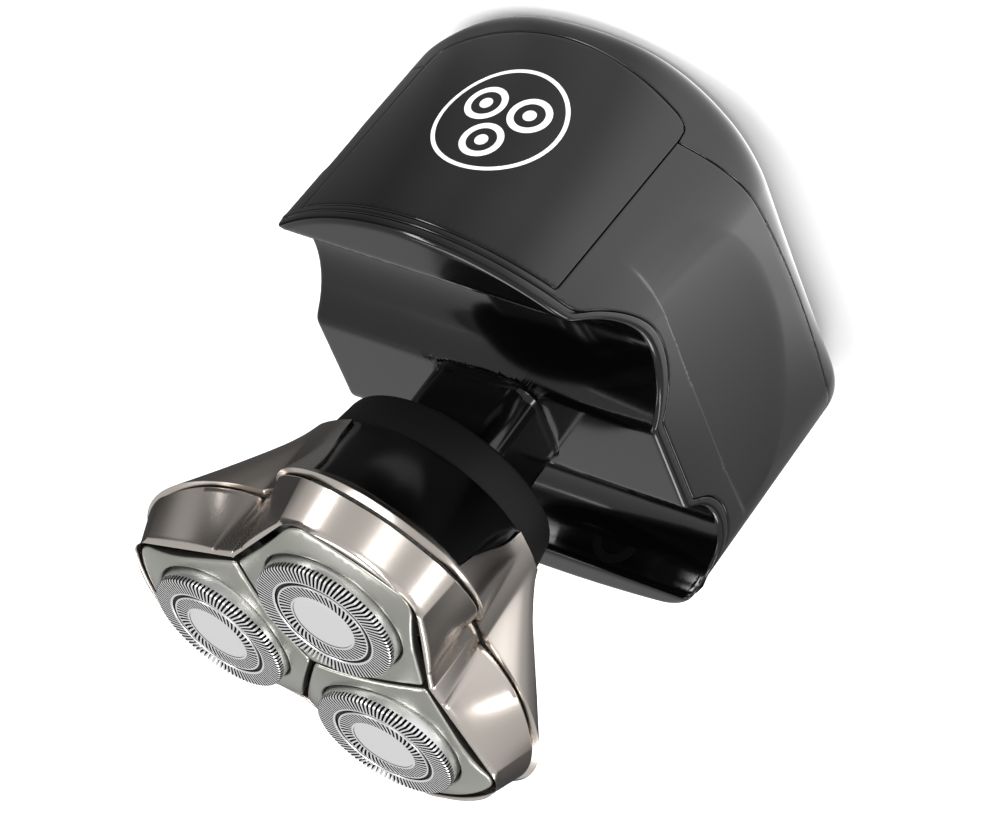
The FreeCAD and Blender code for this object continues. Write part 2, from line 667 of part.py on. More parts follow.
insert_pieces = []
for lobe in LOBES:
    tool = new_body("insert_tool_%d" % lobe)
    tool_sketch = new_sketch(tool, "insert_outline_%d" % lobe, "XY_Plane", COLLAR_TOP + " + 0.01")
    outline(
        tool_sketch, ("insert_root", "-insert_root_half"),
        (("insert_waist", "-insert_waist_half"), ("insert_corner", "-insert_corner_half")),
        (("lobe_offset + lobe_radius - insert_margin", "0"), ("insert_corner", "insert_corner_half")),
        (("insert_waist", "insert_waist_half"), ("insert_root", "insert_root_half")),
        (("insert_root", "-insert_root_half"),))
    pad(tool, tool_sketch, "shell_height")
    insert = cut("insert_%d" % lobe, common("insert_blank_%d" % lobe, insert_skin, turned(tool, lobe)),
                 parting_space)
    insert_pieces.append(piece(insert, "shell_insert_%d" % (lobe + 1)))

GEAR_PLATE_LOW = "(gear_base - 0.4 - plate_thickness)"
gear_plate_slab = cylinder("gear_plate_slab", "lobe_offset + lobe_radius", "plate_thickness",
                           z=GEAR_PLATE_LOW)
gear_plate_blank = common("gear_plate_blank", gear_plate_slab, shell_inner)

collar_body = new_body("collar_blank")
collar_sketch = new_sketch(collar_body, "collar_profile", "XZ_Plane")
outline(
    collar_sketch, ("0", "neck_top"),
    (("collar_low_radius", "neck_top"),),
    (("collar_high_radius", COLLAR_TOP),),
    (("collar_high_radius - 2.2", COLLAR_TOP),),
    (("collar_low_radius - 2", "neck_top + 2"),),
    (("0", "neck_top + 2"),),
    (("0", "neck_top"),))
revolve(collar_body, collar_sketch)
socket_body = new_body("collar_socket")
socket_sketch = new_sketch(socket_body, "socket_outline", "XY_Plane", "neck_top - 1")
round_rectangle(socket_sketch, "post_half_width + post_clearance",
                "post_half_depth + post_clearance", "post_half_depth + post_clearance",
                "neck_radius / 2")
pad(socket_body, socket_sketch, "4")
piece(cut("collar", collar_body, socket_body), "head_collar")
piece(cut("head_shell_blank", shell_open, *insert_pieces), "head_shell")

# ---------------------------------------------------------------- gear train

MODULE = "(2 * cutter_pitch / (gear_teeth + pinion_teeth))"


def gear(name, teeth, base, phase=0.0):
    """Make a spur gear from a root disc and a polar pattern of one tapered tooth."""
    body = new_body(name)
    disc = new_sketch(body, name + "_disc", "XY_Plane", base)
    pitch = "(%s * %s / 2)" % (MODULE, teeth)
    ring(disc, "%s - 1.15 * %s" % (pitch, MODULE))
    pad(body, disc, "gear_height")
    root_half = "(%s * 1.02 - tooth_backlash)" % MODULE
    tip_half = "(%s * 0.42 - tooth_backlash)" % MODULE
    tooth = new_sketch(body, name + "_tooth", "XY_Plane", base)
    low = "(%s - 1.3 * %s)" % (pitch, MODULE)
    high = "(%s + 0.88 * %s)" % (pitch, MODULE)
    outline(
        tooth, (low, "-" + root_half),
        ((high, "-" + tip_half),),
        ((high, tip_half),),
        ((low, root_half),),
        ((low, "-" + root_half),))
    tooth_pad = pad(body, tooth, "gear_height")
    doc.recompute()
    pattern = body.newObject("PartDesign::PolarPattern", name + "_teeth")
    pattern.Originals = [tooth_pad]
    axis = next(item for item in body.Origin.OriginFeatures if item.Role == "Z_Axis")
    pattern.Axis = (axis, [""])
    pattern.Angle = 360
    bind(pattern, Occurrences=teeth)
    body.Tip = pattern
    body.Placement = App.Placement(Vector(), App.Rotation(Z_AXIS, phase))
    return body


# The pinion has a tooth on each lobe's axis, so each spindle gear shows it a gap there.
pinion = gear("pinion_blank", "pinion_teeth", "gear_base")
pinion_stem = cylinder("pinion_stem", "gear_shaft", "gear_base + 1 - (neck_top + post_height + 1)",
                       z="neck_top + post_height + 1")
drive_socket = cylinder("drive_socket", "drive_tip_radius - 0.5", "drive_tip_height + 1",
                        z="neck_top + post_height")
socket_slot = box("socket_slot", ("-drive_tip_radius * 0.6 - socket_clearance",
                                  "-drive_tip_radius - socket_clearance",
                                  "neck_top + post_height"),
                  ("drive_tip_radius * 0.6 + socket_clearance",
                   "drive_tip_radius + socket_clearance",
                   "neck_top + post_height + drive_tip_height + 1"))
stem_collar = cylinder("stem_collar", "gear_shaft + 1", "8", z="neck_top + post_height + 1")
piece(cut("pinion_socketed", fuse("pinion_whole", pinion, pinion_stem, stem_collar), socket_slot,
          drive_socket), "center_gear")

plate_holes = [cylinder("pinion_hole", "gear_shaft + shaft_clearance", "20", z="gear_base - 10")]
cover_holes = []
for lobe in LOBES:
    bearing = cylinder("bearing_hole_%d" % lobe, "spindle_radius + shaft_clearance", "20",
                       "cutter_pitch", "0", "gear_base - 10")
    cover_holes.append(bearing)
    holder = doc.addObject("Part::Compound", "bearing_turned_%d" % lobe)
    holder.Links = [bearing]
    plate_holes.append(turned(holder, lobe))
piece(cut("gear_plate", gear_plate_blank, *plate_holes), "gear_plate")

COVER_LOW = "(gear_base + gear_height + 0.4)"
cover_body = new_body("cover_blank")
cover_sketch = new_sketch(cover_body, "cover_disc", "XY_Plane", COVER_LOW)
ring(cover_sketch, "valley_radius - shell_wall - 0.4")
pad(cover_body, cover_sketch, "plate_thickness * 0.7")
cover_hub = cylinder("cover_hub", "gear_shaft + 1.2", "2", z=COVER_LOW)
cover_solid = fuse("cover_solid", cover_body, cover_hub)
cover_tools = [cylinder("cover_relief_%d" % lobe, "spindle_radius + shaft_clearance", "20",
                        "cutter_pitch", "0", "gear_base - 8") for lobe in LOBES]
cover_turned = []
for lobe, tool in enumerate(cover_tools):
    holder = doc.addObject("Part::Compound", "cover_turned_%d" % lobe)
    holder.Links = [tool]
    cover_turned.append(turned(holder, lobe))
piece(cut("cover", cover_solid, *cover_turned), "gear_cover")

head_screw_parts = []
for lobe in LOBES:
    pillar = cylinder("pillar_%d" % lobe, "screw_radius * 1.8", "gear_height + 0.8",
                      "-(valley_radius - shell_wall - 3)", "0", GEAR_PLATE_LOW + " + plate_thickness")
    cap = cylinder("pillar_cap_%d" % lobe, "screw_radius * 1.9", "1",
                   "-(valley_radius - shell_wall - 3)", "0", COVER_LOW + " + plate_thickness * 0.7")
    holder = doc.addObject("Part::Compound", "pillar_turned_%d" % lobe)
    holder.Links = [pillar, cap]
    head_screw_parts.append(turned(holder, lobe))
head_screws = doc.addObject("Part::Compound", "head_screws_group")
head_screws.Links = head_screw_parts
piece(head_screws, "gearbox_posts")

for lobe in LOBES:
    wheel = gear("spindle_gear_blank_%d" % lobe, "gear_teeth", "gear_base",
                 180 + 180 / value("gear_teeth"))
    wheel_hole = cylinder("wheel_hole_%d" % lobe, "spindle_radius", "20", z="gear_base - 5")
    wheel_bored = cut("wheel_%d" % lobe, wheel, wheel_hole)
    angle = LOBE_STEP * lobe
    wheel_bored.Placement = App.Placement(Vector(), App.Rotation(Z_AXIS, angle))
    place(wheel_bored, "cutter_pitch * cos(%d)" % angle, "cutter_pitch * sin(%d)" % angle)
    piece(wheel_bored, "spindle_gear_%d" % (lobe + 1))
    rod = cylinder("rod_%d" % lobe, "spindle_radius", "spindle_top - 3 - " + GEAR_PLATE_LOW,
                   z=GEAR_PLATE_LOW)
    rod_tip = cylinder("rod_tip_%d" % lobe, "spindle_tip", "3.2", z="spindle_top - 3.2")
    spindle = fuse("spindle_whole_%d" % lobe, rod, rod_tip)
    spindle.Placement = App.Placement(Vector(), App.Rotation(Z_AXIS, angle))
    place(spindle, "cutter_pitch * cos(%d)" % angle, "cutter_pitch * sin(%d)" % angle)
    piece(spindle, "spindle_%d" % (lobe + 1))

# ---------------------------------------------------------------- blade frame and cutting units


def pad_outline(sketch, grow):
    """Draw the shield shape of a cutter's plate on the first lobe's axis, grown all round.

    Two edges run along the gaps to the next plates, two lean towards the nose, and the nose
    is an arc about the head's axis with rounded corners.
    """
    side = "(pad_valley * sin(pad_lean + 60))"
    inner = "(%s - pad_corner)" % side
    along = "sqrt(pow(pad_nose - pad_corner; 2) - pow(%s; 2))" % inner
    ball_x = "(%s * sin(pad_lean) + %s * cos(pad_lean))" % (inner, along)
    ball_y = "(%s * cos(pad_lean) - %s * sin(pad_lean))" % (inner, along)
    radius = "(pad_corner + %s)" % grow
    bearing = "((90 deg - pad_lean * 1 deg + atan2(%s; %s)) / 2)" % (ball_y, ball_x)
    back = "(pad_gap - %s)" % grow
    valley_x = "((%s * cos(pad_lean) + 0.5 * (%s + %s)) / sin(60 + pad_lean))" % (back, side, grow)
    valley_y = "((sin(60) * (%s + %s) - %s * sin(pad_lean)) / sin(60 + pad_lean))" % (
        side, grow, back)
    apex = ("%s / sin(60)" % back, "0")
    side_touch = ("%s + %s * sin(pad_lean)" % (ball_x, radius),
                  "%s + %s * cos(pad_lean)" % (ball_y, radius))
    corner_middle = ("%s + %s * cos(%s)" % (ball_x, radius, bearing),
                     "%s + %s * sin(%s)" % (ball_y, radius, bearing))
    stretch = "(1 + %s / (pad_nose - pad_corner))" % radius
    nose_touch = ("%s * %s" % (ball_x, stretch), "%s * %s" % (ball_y, stretch))

    def lower(place_xy):
        return place_xy[0], "-(%s)" % place_xy[1]

    return outline(
        sketch, apex,
        (lower((valley_x, valley_y)),),
        (lower(side_touch),),
        (lower(corner_middle), lower(nose_touch)),
        (("pad_nose + %s" % grow, "0"), nose_touch),
        (corner_middle, side_touch),
        ((valley_x, valley_y),),
        (apex,))


def pad_prism(name, grow, low, high):
    body = new_body(name)
    sketch = new_sketch(body, name + "_outline", "XY_Plane", low)
    pad_outline(sketch, grow)
    pad(body, sketch, "%s - (%s)" % (high, low))
    return body


rim_outer = lobed("rim_outer", RIM_LOW, RIM_HIGH)
rim_shape = common("rim_shape", rim_outer, parting_space)
rim_inner = lobed("rim_inner", RIM_LOW, RIM_HIGH, "frame_wall")
INNER_TOP = "(rim_height - frame_wall - 1.4)"
rim_core_box = cylinder("rim_core_box", "lobe_offset + lobe_radius", INNER_TOP + " - parting_valley + 8",
                        z="parting_valley - 8")
rim_core = common("rim_core", rim_inner, rim_core_box)
mouth_parts = [
    turned(pad_prism("mouth_%d" % lobe, "mouth_gap", "rim_height - mouth_depth", "head_top + 5"), lobe)
    for lobe in LOBES]
mouth = fuse("mouth", *mouth_parts)
piece(cut("frame_blank", rim_shape, rim_core, mouth), "blade_frame")

CARRIER_LOW = "(gear_base + gear_height + plate_thickness + 1.2)"
carrier_hub = cylinder("carrier_hub", "5", "2", z=CARRIER_LOW)
arms = []
for lobe in LOBES:
    arm = box("carrier_arm_%d" % lobe, ("-rim_valley", "-0.9", CARRIER_LOW),
              ("0", "0.9", CARRIER_LOW + " + 2"))
    holder = doc.addObject("Part::Compound", "arm_turned_%d" % lobe)
    holder.Links = [arm]
    arms.append(turned(holder, lobe))
piece(common("carrier", fuse("carrier_whole", carrier_hub, *arms), rim_inner), "plate_carrier")


def unit_place(obj, lobe):
    """Stand an object made about its own Z axis on a cutter's tilted axis."""
    angle = LOBE_STEP * lobe
    tilt = App.Rotation(Y_AXIS, value("cutter_tilt"))
    obj.Placement = App.Placement(Vector(), App.Rotation(Z_AXIS, angle).multiply(tilt))
    return place(obj, "cutter_pitch * cos(%d)" % angle, "cutter_pitch * sin(%d)" % angle,
                 "head_top")


for lobe in LOBES:
    number = lobe + 1
    # plate: shield outline cut to a dome across the lobe and a rounded nose along it
    blank = pad_prism("plate_prism_%d" % lobe, "0", "rim_height - 3.4", "head_top + 1")
    dome = cylinder("plate_dome_%d" % lobe, "dome_radius", "80", "-20", "0",
                    "head_top - plate_drop - dome_radius + 0.3")
    dome.Placement.Rotation = App.Rotation(Y_AXIS, 90)
    place(dome, "-20", "0", "head_top - plate_drop - dome_radius + 0.3")
    nose = cylinder("plate_nose_%d" % lobe, "nose_radius", "80")
    nose.Placement.Rotation = App.Rotation(Vector(1, 0, 0), -90)
    place(nose, "lobe_offset", "-40", "head_top - plate_drop - nose_radius")
    nose_box = box("nose_box_%d" % lobe, ("-5", "-40", "rim_height - 6"),
                   ("lobe_offset", "40", "head_top - plate_drop"))
    nose_solid = fuse("nose_solid_%d" % lobe, nose, nose_box)
    top = common("plate_top_%d" % lobe, common("plate_domed_%d" % lobe, blank, dome), nose_solid)
    hollow = cylinder("plate_hollow_%d" % lobe, "foil_radius + foil_gap + 1.2", "10",
                      "cutter_pitch", "0", "rim_height - 8")
    hole = cylinder("plate_hole_%d" % lobe, "foil_radius + foil_gap", "20", "cutter_pitch", "0",
                    "rim_height - 8")
    bind(hollow, Height="head_top - plate_drop - pad_thickness - rim_height + 8")
    piece(turned(cut("plate_%d" % lobe, top, hole, hollow), lobe), "cutter_plate_%d" % number)

    # foil: a thin cap with a groove between its two slotted tracks and a flange under the plate
    foil = new_body("foil_%d" % lobe)
    profile = new_sketch(foil, "foil_profile_%d" % lobe, "XZ_Plane")
    outline(
        profile, ("0", "0"),
        (("groove_inner", "0"),),
        (("groove_inner", "-groove_depth"),),
        (("groove_outer", "-groove_depth"),),
        (("groove_outer", "0"),),
        (("foil_radius - 0.5", "0"),),
        (("foil_radius - 0.15", "-0.15"), ("foil_radius", "-0.5")),
        (("foil_radius", "-foil_height + foil_flange"),),
        (("foil_radius + 1", "-foil_height + foil_flange"),),
        (("foil_radius + 1", "-foil_height"),),
        (("foil_radius - foil_skin", "-foil_height"),),
        (("foil_radius - foil_skin", "-foil_skin"),),
        (("0", "-foil_skin"),),
        (("0", "0"),))
    revolve(foil, profile)
    piece(unit_place(foil, lobe), "foil_cap_%d" % number)

    # cutter: a carrier disc with a ring of blades that run just below the foil's skin
    cutter = new_body("cutter_%d" % lobe)
    disc = new_sketch(cutter, "cutter_disc_%d" % lobe, "XY_Plane", "-foil_height + 0.6")
    ring(disc, "cutter_radius")
    pad(cutter, disc, "0.9")
    boss = new_sketch(cutter, "cutter_boss_%d" % lobe, "XY_Plane", "-foil_height - 2.6")
    ring(boss, "spindle_radius + 2")
    pad(cutter, boss, "3.4")
    doc.recompute()
    blade = new_sketch(cutter, "cutter_blade_%d" % lobe, "XY_Plane", "-foil_height + 1.4")
    outline(
        blade, ("groove_outer + 0.3", "-0.4"),
        (("cutter_radius - 0.05", "-0.4"),),
        (("cutter_radius - 0.05", "0.4"),),
        (("groove_outer + 0.3", "0.4"),),
        (("groove_outer + 0.3", "-0.4"),))
    blade_pad = pad(cutter, blade, "foil_height - 1.4 - foil_skin - blade_gap")
    doc.recompute()
    blades = cutter.newObject("PartDesign::PolarPattern", "cutter_blades_%d" % lobe)
    blades.Originals = [blade_pad]
    turn_axis = next(item for item in cutter.Origin.OriginFeatures if item.Role == "Z_Axis")
    blades.Axis = (turn_axis, [""])
    blades.Angle = 360
    bind(blades, Occurrences="blade_count")
    cutter.Tip = blades
    doc.recompute()
    well = cylinder("cutter_well_%d" % lobe, "spindle_tip + cutter_well_room", "3.4", z="-foil_height - 3")
    piece(unit_place(cut("cutter_whole_%d" % lobe, cutter, well), lobe), "cutter_%d" % number)

doc.recompute()

# ---------------------------------------------------------------- checks and export

for obj in doc.Objects:
    if "Invalid" in obj.State or "Error" in obj.State:
        raise RuntimeError("%s is %s" % (obj.Name, obj.State))
for obj in pieces:
    shape = obj.Shape
    if shape.isNull() or not shape.isValid() or not shape.Solids:
        raise RuntimeError("%s has no valid solid" % obj.Label)
    if len(shape.Solids) > 1 and obj.Label not in GROUPED:
        raise RuntimeError("%s is in %d parts" % (obj.Label, len(shape.Solids)))

os.makedirs("parts", exist_ok=True)
for obj in pieces:
    obj.Shape.exportStep("parts/%s.step" % obj.Label)
    size = obj.Shape.BoundBox
    print("%-18s solids %d  volume %9.1f  z %6.1f .. %6.1f  x %6.1f .. %6.1f  y %6.1f .. %6.1f" % (
        obj.Label, len(obj.Shape.Solids), obj.Shape.Volume, size.ZMin, size.ZMax, size.XMin,
        size.XMax, size.YMin, size.YMax))
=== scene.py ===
import json
import math

import bmesh
import bpy
import numpy as np
from bpy.props import FloatProperty, FloatVectorProperty, IntProperty, PointerProperty
from mathutils import Matrix, Vector
from mathutils.geometry import delaunay_2d_cdt


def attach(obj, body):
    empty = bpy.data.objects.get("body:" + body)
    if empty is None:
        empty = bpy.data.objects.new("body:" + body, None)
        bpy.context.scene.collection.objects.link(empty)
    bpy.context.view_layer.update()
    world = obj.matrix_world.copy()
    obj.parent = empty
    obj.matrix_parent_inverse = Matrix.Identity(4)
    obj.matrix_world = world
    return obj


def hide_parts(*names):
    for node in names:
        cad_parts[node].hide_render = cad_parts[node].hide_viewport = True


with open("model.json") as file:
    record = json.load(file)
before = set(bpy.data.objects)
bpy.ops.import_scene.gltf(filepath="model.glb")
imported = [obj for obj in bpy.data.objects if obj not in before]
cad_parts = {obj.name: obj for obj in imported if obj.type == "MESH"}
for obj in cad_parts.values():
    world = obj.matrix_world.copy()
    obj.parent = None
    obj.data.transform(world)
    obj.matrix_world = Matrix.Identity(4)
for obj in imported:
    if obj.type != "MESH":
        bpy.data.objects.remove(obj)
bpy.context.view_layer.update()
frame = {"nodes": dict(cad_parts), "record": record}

bl_info = {
    "name": "Palm-held shaver",
    "version": (1, 0, 0),
    "blender": (4, 5, 0),
    "location": "View3D > Sidebar > Shaver",
    "description": "Dresses the packed shaver with its moulded skins, foils and finishes",
    "category": "Object",
}

MM = 0.001
LOBES = (0, 1, 2)

# ------------------------------------------------------------ sizes, all in millimetres

BODY_HALF = 33.3
TOP_PLAN_HEIGHT = 57.2
FRONT_REACH = (42.5, 46.5)
FRONT_HALF = 24.0
FRONT_RISE = 6.6
REAR_REACH = 34.0
REAR_RISE = 1.6
FRONT_CORNER = 14.0
REAR_CORNER = 10.5
LAND_HALF = 9.0
CROWN_RISE = 6.0
PALM_EDGE = 5.0
LIP_EDGE = 1.1
UNDERSIDE = 47.2
PANEL_HALF = 24.4
PANEL_TOP = 47.0
SCOOP = {"depth": 2.4, "crease": 36.0, "ball": 20.0, "half_length": 31.0, "height": 22.0,
         "centre": -6.5}
COLLAR_TOP = 69.0
SHELL_TOP = 90.4
COLLAR_RADIUS = 19.9
CUTTER_PITCH = 17.9
HEAD_TOP = 101.0
CUTTER_TILT = math.radians(3)
RIM_TOP = 97.0
PAD = {"valley": 19.8, "lean": 15.6, "corner": 5.0, "nose": 34.0, "gap": 0.45}
MOUTH_GAP = 0.7


# ------------------------------------------------------------ the user's values


class ShaverSizes(bpy.types.PropertyGroup):
    seam_gap: FloatProperty(
        name="Seam gap", description="Half the width of the gap between two mouldings",
        default=0.05 * MM, unit="LENGTH", precision=5)
    edge_roll: FloatProperty(
        name="Edge roll", description="Radius at a moulding's rim", default=0.22 * MM,
        unit="LENGTH", precision=5)
    outer_slots: IntProperty(
        name="Outer slots", description="Slots in a foil's outer track", default=96)
    inner_slots: IntProperty(
        name="Inner slots", description="Slots in a foil's inner track", default=56)
    slot_swirl: FloatProperty(
        name="Slot swirl", description="How far a slot turns across its track", default=0.2,
        subtype="ANGLE")


class ShaverColours(bpy.types.PropertyGroup):
    piano_black: FloatVectorProperty(
        name="Piano black", description="Polished grip mouldings", subtype="COLOR",
        default=(0.0012, 0.0012, 0.0014))
    shell_nickel: FloatVectorProperty(
        name="Shell nickel", description="Plated shell and blade frame", subtype="COLOR",
        default=(0.46, 0.42, 0.385))
    plate_nickel: FloatVectorProperty(
        name="Plate nickel", description="Plated cutter plates", subtype="COLOR",
        default=(0.30, 0.30, 0.272))
    foil_steel: FloatVectorProperty(
        name="Foil steel", description="Foil caps and cutters", subtype="COLOR",
        default=(0.74, 0.74, 0.74))
    collar_grey: FloatVectorProperty(
        name="Collar grey", description="Satin collar at the neck", subtype="COLOR",
        default=(0.004, 0.004, 0.0045))
    floor_white: FloatVectorProperty(
        name="Floor", description="Pale floor", subtype="COLOR", default=(0.93, 0.93, 0.93))


# ------------------------------------------------------------ grip surface


def plan_curve(reach):
    """Outline of the grip at one height, as closed points."""
    def end(reach_here, rise, corner):
        bow = (FRONT_HALF ** 2 + rise ** 2) / (2 * rise)
        centre_x = BODY_HALF - corner
        lean_x = centre_x / (bow - corner)
        lean_y = math.sqrt(1 - lean_x ** 2)
        centre_y = reach_here - bow + (bow - corner) * lean_y
        touch = math.asin(lean_x)
        front = [(bow * math.sin(a), reach_here - bow + bow * math.cos(a))
                 for a in np.linspace(0, touch, 60)]
        side = [(centre_x + corner * math.sin(a), centre_y + corner * math.cos(a))
                for a in np.linspace(touch, math.pi / 2, 40)]
        return front + side[1:], centre_y
    front, low_y = end(reach, FRONT_RISE, FRONT_CORNER)
    rear, high_y = end(REAR_REACH, REAR_RISE, REAR_CORNER)
    right = [(x, -y) for x, y in front]
    right += [(BODY_HALF, y) for y in np.linspace(-low_y, high_y, 80)[1:-1]]
    right += [(x, y) for x, y in reversed(rear)]
    left = [(-x, y) for x, y in reversed(right[1:-1])]
    return np.array(right + left)


PLANS = [plan_curve(reach) for reach in FRONT_REACH]
PLAN_COUNT = len(PLANS[0])


def wall_point(turn, height):
    """Point of the grip's wall at a share of the way round, 0 at the front, and a height."""
    place = (np.asarray(turn) % 1.0) * PLAN_COUNT
    low = np.floor(place).astype(int) % PLAN_COUNT
    high = (low + 1) % PLAN_COUNT
    part = (place - np.floor(place))[..., None]
    ends = [plan[low] * (1 - part) + plan[high] * part for plan in PLANS]
    rise = (np.asarray(height) / TOP_PLAN_HEIGHT)[..., None]
    return ends[0] * (1 - rise) + ends[1] * rise


def arc_height(y, ends, middle):
    """Height at y of the circle through two ends and a middle point."""
    (ax, ay), (bx, by), (cx, cy) = ends[0], middle, ends[1]
    d = 2 * (ax * (by - cy) + bx * (cy - ay) + cx * (ay - by))
    ux = ((ax ** 2 + ay ** 2) * (by - cy) + (bx ** 2 + by ** 2) * (cy - ay)
          + (cx ** 2 + cy ** 2) * (ay - by)) / d
    uy = ((ax ** 2 + ay ** 2) * (cx - bx) + (bx ** 2 + by ** 2) * (ax - cx)
          + (cx ** 2 + cy ** 2) * (bx - ax)) / d
    radius = math.hypot(ax - ux, ay - uy)
    sign = 1 if by > uy else -1
    return uy + sign * np.sqrt(np.maximum(radius ** 2 - (y - ux) ** 2, 0))


def underside_table():
    """Heights of the grip's underside along Y, with its ridges and lips eased."""
    y = np.linspace(-60, 60, 4801)
    z = np.full_like(y, UNDERSIDE)
    z[y < -36.5] = 50.5
    z[y > 27.8] = 51.6
    front = (y >= -36.5) & (y <= -9.3)
    z[front] = arc_height(y[front], ((-36.5, 50.5), (-9.3, UNDERSIDE)), (-22.5, UNDERSIDE - 6))
    rear = (y >= 10) & (y <= 27.8)
    z[rear] = arc_height(y[rear], ((10, UNDERSIDE), (27.8, 51.6)), (19.5, UNDERSIDE - 5.2))
    width = 0.55
    kernel = np.exp(-0.5 * (np.arange(-120, 121) * (y[1] - y[0]) / width) ** 2)
    eased = np.convolve(np.pad(z, 120, mode="edge"), kernel / kernel.sum(), mode="valid")
    return y, np.minimum(eased, z)


UNDER_Y, UNDER_Z = underside_table()


def underside_height(y):
    """Height of the finger side at y."""
    return np.interp(y, UNDER_Y, UNDER_Z)


def crown_height(x):
    """Height of the palm's crowned surface above its flat land."""
    mid = (LAND_HALF + BODY_HALF) / 2
    a = np.clip(np.abs(x), LAND_HALF, BODY_HALF)
    return np.maximum(arc_height(a, ((LAND_HALF, 0), (BODY_HALF, CROWN_RISE)),
                                 (mid, CROWN_RISE / 4)), 0) * (np.abs(x) > LAND_HALF)


def seam_height(y):
    """Height of the seam between palm cover and housing."""
    return arc_height(np.asarray(y, float), ((-46.5, 16.2), (34.0, 12.0)), (0.0, 9.0))


def scoop_sink(point):
    """How far the thumb scoop sinks the wall at a point, from its crease to its arch."""
    x, y, z = point[..., 0], point[..., 1], point[..., 2]
    ball = SCOOP["ball"]
    shrink = math.sqrt(1 - ((ball - SCOOP["depth"]) / ball) ** 2)
    across = (z - SCOOP["crease"]) / (SCOOP["height"] / shrink)
    along = (y - SCOOP["centre"]) / (SCOOP["half_length"] / shrink)
    inside = np.maximum(1 - across ** 2 - along ** 2, 0)
    depth = ball * np.sqrt(inside) - (ball - SCOOP["depth"])
    lip = np.clip((SCOOP["crease"] + 0.3 - z) / 0.6, 0, 1)
    ease = lip * lip * (3 - 2 * lip)
    side = np.clip((np.abs(x) - 28) / 4, 0, 1)
    soft = 0.25
    depth = 0.5 * (depth + np.sqrt(depth ** 2 + soft ** 2)) - 0.5 * soft
    return np.maximum(depth, 0) * ease * side


def ring_profile(turn):
    """Points from the palm's middle over the edge, up the wall and back over the underside."""
    shares = np.linspace(0, 1, 1201)
    foot = wall_point(np.array([turn]), np.array([CROWN_RISE]))[0]
    palm = np.stack([foot[0] * shares, foot[1] * shares, crown_height(foot[0] * shares)], -1)
    rise = np.linspace(0, 60, 2401)
    wall = wall_point(np.full(rise.shape, turn), rise)
    wall = np.concatenate([wall, rise[:, None]], -1)
    wall = wall[(wall[:, 2] > palm[-1, 2] + 1e-6)]
    wall = wall[wall[:, 2] < underside_height(wall[:, 1])]
    rim = wall[-1]
    back = 1 - shares
    under_xy = np.stack([rim[0] * back, rim[1] * back], -1)
    under = np.concatenate([under_xy, underside_height(under_xy[:, 1])[:, None]], -1)
    return palm, wall, under


def round_corner(line, corner, reach):
    """Replace a polyline's corner by a parabola that starts and ends a reach away."""
    steps = np.linalg.norm(np.diff(line, axis=0), axis=1)
    run = np.concatenate([[0], np.cumsum(steps)])
    centre = run[corner]

    def at(length):
        return np.stack([np.interp(length, run, line[:, axis]) for axis in range(3)], -1)
    share = np.linspace(0, 1, 41)[:, None]
    start, tip, end = at(centre - reach), line[corner], at(centre + reach)
    bend = (1 - share) ** 2 * start + 2 * share * (1 - share) * tip + share ** 2 * end
    keep_low = line[run < centre - reach]
    keep_high = line[run > centre + reach]
    return np.concatenate([keep_low, bend, keep_high]), len(keep_low), len(keep_low) + 40


def grip_table(turns=720, per_part=(60, 40, 120, 28, 120)):
    """Grid of the grip's surface: turns round it by steps along each of its five parts."""
    table = []
    for turn in np.arange(turns) / turns:
        palm, wall, under = ring_profile(turn)
        line = np.concatenate([palm, wall, under])
        line, _, _ = round_corner(line, len(palm) - 1, PALM_EDGE)
        rim = int(np.argmin(np.linalg.norm(line - wall[-1], axis=1)))
        line, rim_low, rim_high = round_corner(line, rim, LIP_EDGE)
        steps = np.linalg.norm(np.diff(line, axis=0), axis=1)
        run = np.concatenate([[0], np.cumsum(steps)])
        palm_run = np.linalg.norm(np.diff(palm, axis=0), axis=1).sum()
        palm_low, palm_high = np.searchsorted(run, (palm_run - PALM_EDGE, palm_run + PALM_EDGE))
        marks = [0, run[palm_low], run[palm_high], run[rim_low], run[rim_high], run[-1]]
        samples = []
        for part, count in enumerate(per_part):
            samples.append(np.linspace(marks[part], marks[part + 1], count, endpoint=False))
        samples = np.concatenate(samples + [[run[-1]]])
        row = np.stack([np.interp(samples, run, line[:, axis]) for axis in range(3)], -1)
        table.append(row)
    return np.array(table), per_part


class Surface:
    """A tabulated skin: the first index turns round the Z axis, the second runs along it."""

    def __init__(self, table, sink=None):
        self.turns, self.steps = table.shape[:2]
        self.raw = table
        self.table = table
        if sink is not None:
            normal = self._grid_normals(table)
            self.table = table - normal * sink(table)[..., None]
        self.normals = self._grid_normals(self.table)

    @staticmethod
    def _grid_normals(table):
        along = np.gradient(table, axis=1)
        around = np.roll(table, -1, axis=0) - np.roll(table, 1, axis=0)
        normal = np.cross(around, along)
        normal /= np.linalg.norm(normal, axis=-1, keepdims=True) + 1e-12
        outward = (normal * (table - np.array([0, 0, 25.0]))).sum(-1)
        return normal if outward.mean() > 0 else -normal

    def sample(self, grid, turn, step):
        """Read a grid between its entries."""
        a = (np.asarray(turn) % 1.0) * self.turns
        b = np.clip(np.asarray(step), 0, self.steps - 1.0001)
        i = np.floor(a).astype(int) % self.turns
        j = np.floor(b).astype(int)
        fa, fb = (a - np.floor(a))[..., None], (b - j)[..., None]
        k = (i + 1) % self.turns
        low = grid[i, j] * (1 - fa) + grid[k, j] * fa
        high = grid[i, j + 1] * (1 - fa) + grid[k, j + 1] * fa
        return low * (1 - fb) + high * fb

    def at(self, turn, step):
        """Place and unit normal at a turn and step."""
        point = self.sample(self.table, turn, step)
        normal = self.sample(self.normals, turn, step)
        return point, normal / (np.linalg.norm(normal, axis=-1, keepdims=True) + 1e-12)


# ------------------------------------------------------------ moulded skins


